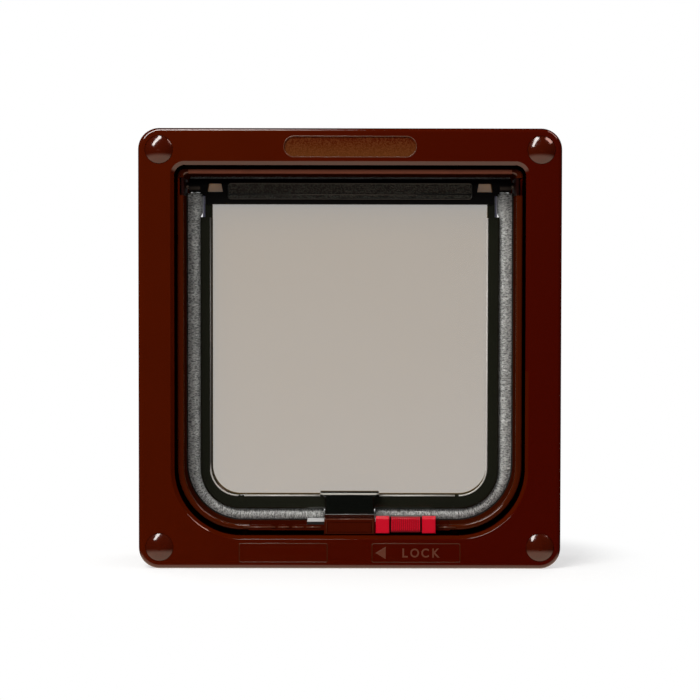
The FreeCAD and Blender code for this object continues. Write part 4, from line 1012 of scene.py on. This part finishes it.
@dataclass
class Screw:
    """Long machine screw with a thread, a pan head and a cross recess."""

    x: float
    z: float
    head_front: float
    tip: float
    head_depth: float = 2.4 * MM
    head_radius: float = 4.0 * MM
    thread_radius: float = 2.0 * MM
    core_radius: float = 1.62 * MM
    pitch: float = 0.7 * MM
    around: int = 18

    def ring(self, depth: float, radii: Sequence[float] | float) -> list:
        """Corners round the screw's axis.

        Args:
            depth: Their Y.
            radii: One radius, or one for each corner.

        Returns:
            The corners.
        """
        turns = 2 * np.pi * np.arange(self.around) / self.around
        radii = np.broadcast_to(radii, turns.shape)
        return [(self.x + radius * math.cos(turn), depth, self.z + radius * math.sin(turn))
                for radius, turn in zip(radii, turns)]

    def thread(self, step: int) -> list:
        """Corners of the thread at one quarter step of its pitch."""
        phase = (step / 4 + np.arange(self.around) / self.around) % 1.0
        lift = np.minimum(1.0, (1 - abs(phase * 2 - 1)) * 1.4)
        depth = self.head_front + self.head_depth + 0.5 * MM + step * self.pitch / 4
        return self.ring(depth, self.core_radius + (self.thread_radius - self.core_radius) * lift)

    def add(self, skin: Skin) -> None:
        """Add this screw to a skin."""
        top, deep, wide = self.head_front, self.head_depth, self.head_radius
        rings = [self.ring(self.tip, 0.4 * MM), self.ring(self.tip - 0.3 * MM, 1.1 * MM)]
        steps = int((self.tip - 1.2 * MM - top - deep - 0.5 * MM) / (self.pitch / 4))
        rings += [self.thread(step) for step in range(steps, -1, -1)]
        head = ((deep, self.thread_radius), (deep, wide * 0.97), (deep * 0.94, wide), (deep * 0.45, wide),
                (deep * 0.15, wide * 0.88), (0.02 * MM, wide * 0.62), (0.0, wide * 0.56))
        rings += [self.ring(top + depth, radius) for depth, radius in head]
        arms = abs(np.cos(4 * np.pi * np.arange(self.around) / self.around)) ** 3
        for inset, depth in ((0.10, 0.0), (0.28, 1.35 * MM)):
            rings.append(self.ring(top + depth, wide * (0.22 + 0.30 * arms) * (1 - inset)))
        skin.add(sum(rings, []), ring_faces(len(rings), self.around))


@dataclass
class Fasteners:
    """The four frame screws and what they screw into."""

    centres: tuple = ((-86.5, 9.8), (86.5, 9.8), (-86.5, 190.2), (86.5, 190.2))

    def build(self) -> None:
        """Make the screws and dress the inserts."""
        low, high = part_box("frame_screws")
        skin = Skin()
        for x, z in self.centres:
            Screw(x * MM, z * MM, low.y, high.y).add(skin)
        made = skin.piece("threaded_screws", Finish.screw_zinc, Body.FRAME, "steel", smooth=False)
        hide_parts("frame_screws")
        coat_nodes(Finish.brass, "thread_inserts")


class Tunnel:
    """Tunnel, rear frame, clips and backings."""

    def build(self) -> None:
        """Dress the tunnel's nodes."""
        coat_nodes(Finish.frame_brown, "outer_frame")
        coat_nodes(Finish.liner_brown, "tunnel_liner")
        coat_nodes(Finish.clip_brown, "bearing_clip_left", "bearing_clip_right")
        coat_nodes(Finish.backing, "pile_backing_left", "pile_backing_right")


@dataclass
class Flap:
    """Swinging flap: smoked sheet, rim, hinge bar, cover strip, block and pins."""

    pane_low: float = 171.7 * MM
    pane_high: float = 176.0 * MM
    pane_inner: float = 58.6 * MM
    pane_outer: float = 66.2 * MM
    pane_front: float = -1.45 * MM
    pane_back: float = -0.25 * MM
    pane_inset: float = 0.15 * MM
    neck_strips: tuple = ((63.8, 67.0, -3.35, -2.2, 160.1, 166.5), (63.8, 67.0, 0.5, 1.65, 160.1, 166.5),
                          (66.4, 68.5, -2.0, 0.3, 169.9, 172.0))
    bead_depth: float = -4.35 * MM
    bead_low: float = 31.15 * MM
    bead_top: float = 160.0 * MM
    bead_corner: float = 12.9 * MM
    bead_foot: tuple = (48.9 * MM, 13.7 * MM)
    bead_halves: dict = field(default_factory=lambda: {Side.LEFT: 64.5 * MM, Side.RIGHT: 63.6 * MM})

    def build(self) -> None:
        """Dress the flap and fill the bar's small windows."""
        coat_nodes(Finish.window, "flap_window")
        coat_nodes(Finish.rim_black, "flap_rim_left", "flap_rim_right", "flap_rim_foot")
        coat_nodes(Finish.bar, "hinge_bar")
        coat_nodes(Finish.grained, "hinge_bar_cover")
        coat_nodes(Finish.block_black, "magnet_block")
        coat_nodes(Finish.magnet, "flap_magnet")
        coat_nodes(Finish.pin, "hinge_pin_left", "hinge_pin_right")
        for side in Side:
            self.pane(side)
            self.neck(side)
            self.bead(side)
        self.cover_edges()
        self.block_highlight_line()

    def cover_edges(self) -> None:
        """Make the raised edge of the cover strip and the step along its foot."""
        low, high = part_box("hinge_bar_cover")
        skin = Skin()
        skin.tube(rounded_loop(0.0, high.x / MM - 0.25, low.z / MM + 0.25, high.z / MM - 0.25, 1.3, low.y),
                  0.26 * MM, True)
        depth, level = low.y + 0.12 * MM, low.z + 2.3 * MM
        skin.tube([(low.x + 0.6 * MM, depth, level), (high.x - 0.6 * MM, depth, level)], 0.34 * MM)
        skin.piece("cover_edges", Finish.cover_edge, Body.FLAP, "grained_black")

    def block_highlight_line(self) -> None:
        """Make the thin grey line under the block's front: a painted highlight."""
        low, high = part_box("magnet_block")
        skin = Skin()
        level, inset = low.z + 0.15 * MM, 0.3 * MM
        skin.tube([(low.x + inset, low.y, level), (high.x - inset, low.y, level)], 0.18 * MM)
        skin.piece("block_highlight_line", Finish.block_highlight_grey, Body.FLAP, "black_gloss")

    def bead(self, side: Side) -> None:
        """Pale bead where the sheet meets the rim's inner edge, from the bar to the block: a painted
        highlight.

        Args:
            side: Which side of the flap.
        """
        way, half, radius = side.value, self.bead_halves[side], self.bead_corner
        path = [(half * way, self.bead_depth, self.bead_top)]
        for step in range(13):
            turn = math.radians(step * 90.0 / 12)
            path.append(((half - radius + radius * math.cos(turn)) * way, self.bead_depth,
                         self.bead_low + radius - radius * math.sin(turn)))
        skin = Skin()
        skin.tube(path, 0.36 * MM)
        skin.tube([(x * way, self.bead_depth, self.bead_low) for x in self.bead_foot], 0.40 * MM)
        skin.piece(f"sheet_highlight_bead_{side.name.lower()}", Finish.bead, Body.FLAP, "smoked_clear")

    def neck(self, side: Side) -> None:
        """Dark strips that hold the sheet between the rim's end and the bar, in front and behind.

        Args:
            side: Which end of the bar.
        """
        skin = Skin()
        for inner, outer, front, back, low, high in self.neck_strips:
            skin.block(sorted((inner * MM * side.value, outer * MM * side.value)), (front * MM, back * MM),
                       (low * MM, high * MM))
        skin.piece(f"rim_neck_{side.name.lower()}", Finish.rim_black, Body.FLAP, "black_gloss", smooth=False)

    def pane(self, side: Side) -> None:
        """Small smoked pane in one of the bar's windows.

        Args:
            side: Which end of the bar.
        """
        outer = [(self.pane_inner, self.pane_low), (self.pane_outer, self.pane_low),
                 (self.pane_outer, self.pane_high), (self.pane_inner, self.pane_high)]
        centre, inset = np.mean(outer, axis=0), self.pane_inset
        inner = [np.array(corner) + np.sign(centre - corner) * inset for corner in outer]
        stack = ((inner, self.pane_front), (outer, self.pane_front + inset), (outer, self.pane_back - inset),
                 (inner, self.pane_back))
        points = [(x * side.value, depth, z) for ring, depth in stack for x, z in ring]
        Skin(points, ring_faces(4, 4)).piece(
            f"bar_pane_{side.name.lower()}", Finish.bar_pane, Body.FLAP, "smoked_clear", smooth=False)


@dataclass
class Catch:
    """Tray, keeper, cover, magnet and slide lock."""

    outline_half: float = 10.6 * MM
    outline_depth: float = -23.6 * MM
    outline_low: float = 15.6 * MM
    outline_high: float = 22.3 * MM
    rails: tuple = ((-48.6, -34.0), (-32.8, -27.6), (-26.4, -21.0), (-19.8, -13.2), (40.6, 48.6))
    rail_depth: float = -20.85 * MM
    rail_level: float = 18.3 * MM

    def build(self) -> None:
        """Dress the catch's nodes and add the cover's outline and the tray's rails."""
        coat_nodes(Finish.catch_brown, "latch_tray", "latch_cover")
        coat_nodes(Finish.keeper, "keeper_plate")
        coat_nodes(Finish.magnet, "frame_magnet")
        coat_nodes(Finish.crimson, "lock_slider")
        outline, rails = Skin(), Skin()
        half, depth, low, high = self.outline_half, self.outline_depth, self.outline_low, self.outline_high
        outline.tube([(-half, depth, low), (-half, depth, high), (half, depth, high), (half, depth, low)],
                     0.16 * MM)
        outline.piece("latch_outline", Finish.highlight_trim_brown, Body.FRAME, "brown_gloss")
        for ends in self.rails:
            rails.tube([(end * MM, self.rail_depth, self.rail_level) for end in ends], 0.34 * MM)
        rails.piece("tray_rails", Finish.highlight_trim_brown, Body.FRAME, "brown_gloss")


@dataclass
class Studio:
    """Pale floor, soft light and the photograph's camera."""

    target: Vector = field(default_factory=lambda: Vector((0.0, 0.0, 0.1)))
    camera_place: Vector = field(default_factory=lambda: Vector((-0.00159, -1.02685, 0.1365)))
    pitch: float = math.radians(2.110)
    yaw: float = math.radians(0.094)
    roll: float = math.radians(0.082)
    focal_pixels: float = 2207.4
    image_width: float = 700.0
    sensor: float = 36.0
    dome: Colour = (0.46, 0.46, 0.46)
    dark_room: Colour = (0.003, 0.003, 0.003)
    bright_table: Colour = (1.7, 1.22, 0.92)
    room_behind: Colour = (0.12, 0.12, 0.12)
    floor_reach: float = 6.0
    lamps: tuple = (
        ("key_strip", (-0.50, -0.58, 0.48), (-0.04, -0.22, 0.90), 0.16, 20.0, (1.0, 0.97, 0.94), False),
        ("side_strip", (0.365, -0.19, 0.83), (0.617, -0.235, 0.56), 0.16, 11.5, (1.0, 0.60, 0.52), False),
        ("soft_key", (-0.75, -0.7, 0.75), (-0.15, -1.0, 1.05), 0.5, 9.5, (1.0, 0.99, 0.97), True),
        ("rear_left", (-0.8, 0.75, 0.35), (-0.35, 0.95, 0.9), 0.25, 1.6, (1.0, 1.0, 1.0), None),
        ("rear_right", (0.35, 0.95, 0.9), (0.8, 0.75, 0.35), 0.25, 1.3, (1.0, 1.0, 1.0), None))

    def build(self) -> None:
        """Make the camera, the world, the floor and the lamps."""
        bpy.context.scene.view_settings.view_transform = "Standard"
        self.camera()
        self.world()
        self.floor()
        for lamp in self.lamps:
            self.lamp(*lamp)

    def camera(self) -> None:
        """Make the camera that the photograph was taken with."""
        data = bpy.data.cameras.new("photo_camera")
        data.sensor_width = self.sensor
        data.lens = self.focal_pixels / self.image_width * self.sensor
        data.clip_start = 0.01
        data.clip_end = 50.0
        camera = bpy.data.objects.new("photo_camera", data)
        turn = Matrix.Rotation(-self.yaw, 4, "Z") @ Matrix.Rotation(math.pi / 2 - self.pitch, 4, "X")
        place = Matrix.Translation(self.camera_place) @ turn
        camera.matrix_world = place @ Matrix.Rotation(self.roll, 4, "Z")
        bpy.context.scene.collection.objects.link(camera)
        bpy.context.scene.camera = camera

    def lamp(self, name: str, start: Triple, end: Triple, width: float, radiance: float, colour: Colour,
             diffuse: bool | None) -> None:
        """Rectangular lamp along a line, turned towards the object.

        Args:
            name: Its name.
            start: One end of its middle line.
            end: Other end of its middle line.
            width: Its width in metres.
            radiance: How bright its surface is.
            colour: Its colour.
            diffuse: True if it only lights surfaces, False if it only shines in them, None for both.
        """
        first, last = Vector(start), Vector(end)
        middle, along = (first + last) / 2, (last - first).normalized()
        back = middle - self.target
        back = (back - along * back.dot(along)).normalized()
        across = back.cross(along)
        data = bpy.data.lights.new(name, "AREA")
        data.shape = "RECTANGLE"
        data.size = (last - first).length
        data.size_y = width
        data.energy = radiance * math.pi * data.size * data.size_y
        data.color = colour
        lamp = bpy.data.objects.new(name, data)
        lamp.matrix_world = Matrix.Translation(middle) @ Matrix((along, across, back)).transposed().to_4x4()
        lamp.visible_camera = False
        lamp.visible_transmission = False
        lamp.visible_diffuse = diffuse is not False
        lamp.visible_glossy = diffuse is not True
        bpy.context.scene.collection.objects.link(lamp)

    def world(self) -> None:
        """White to the camera, an even dome for light, and a dark room with a bright table in reflections."""
        world = bpy.data.worlds.new("studio")
        bpy.context.scene.world = world
        world.use_nodes = True
        nodes = Nodes(world.node_tree)
        ray = nodes.add("ShaderNodeLightPath").socket.node.outputs
        seen = Wire(nodes, ray["Is Camera Ray"]).highest(Wire(nodes, ray["Is Transmission Ray"]))
        glossy = Wire(nodes, ray["Is Glossy Ray"])
        _, deep, up = nodes.axes(nodes.add("ShaderNodeTexCoord", out="Generated"))
        table = 1 - up.step(-0.60, -0.25)
        behind = deep.step(0.93, 0.98)
        room = nodes.blend(behind, nodes.blend(table, self.dark_room, self.bright_table), self.room_behind)
        colour = nodes.blend(seen, nodes.blend(glossy, self.dome, room), (1.0, 1.0, 1.0))
        nodes.add("ShaderNodeOutputWorld", inputs={
            "Surface": nodes.add("ShaderNodeBackground", inputs={"Color": colour, "Strength": 1.0})})

    def floor(self) -> None:
        """Pale floor that keeps the object's shadow and fades into the white room."""
        reach = self.floor_reach
        mesh = bpy.data.meshes.new("floor")
        mesh.from_pydata([(-reach, -reach, 0), (reach, -reach, 0), (reach, reach, 0), (-reach, reach, 0)], [],
                         [(0, 1, 2, 3)])
        floor = bpy.data.objects.new("floor", mesh)
        bpy.context.scene.collection.objects.link(floor)
        material, nodes = new_material("pale_floor")
        across, deep, _ = nodes.axes(nodes.place())
        distance = across.maths("SQRT", across * across + deep * deep)
        far = distance.step(0.108, 0.150)
        camera = Wire(nodes, nodes.add("ShaderNodeLightPath").socket.node.outputs["Is Camera Ray"])
        tint = nodes.blend(nodes.noise(1.5 * MM), (0.55, 0.55, 0.55), (0.57, 0.57, 0.57))
        near_shader = nodes.add("ShaderNodeAddShader", inputs={
            0: nodes.add("ShaderNodeBsdfDiffuse", inputs={"Color": tint}),
            1: nodes.add("ShaderNodeEmission", inputs={"Strength": camera * 0.54})})
        far_shader = nodes.add("ShaderNodeEmission", inputs={"Strength": camera * 0.70 + 0.30})
        nodes.finish(nodes.add("ShaderNodeMixShader", inputs={0: far, 1: near_shader, 2: far_shader}))
        mesh.materials.append(material)
        floor.visible_glossy = False


def main() -> None:
    """Build every sub-assembly in order."""
    logging.basicConfig(level=logging.INFO, format="%(message)s")
    for part in (Studio(), FrontFrame(), Fasteners(), Tunnel(), SidePile(Side.LEFT), SidePile(Side.RIGHT),
                 TopPile(), Flap(), Catch()):
        part.build()
        LOG.info("%s is built", type(part).__name__)


if __name__ == "__main__":
    main()
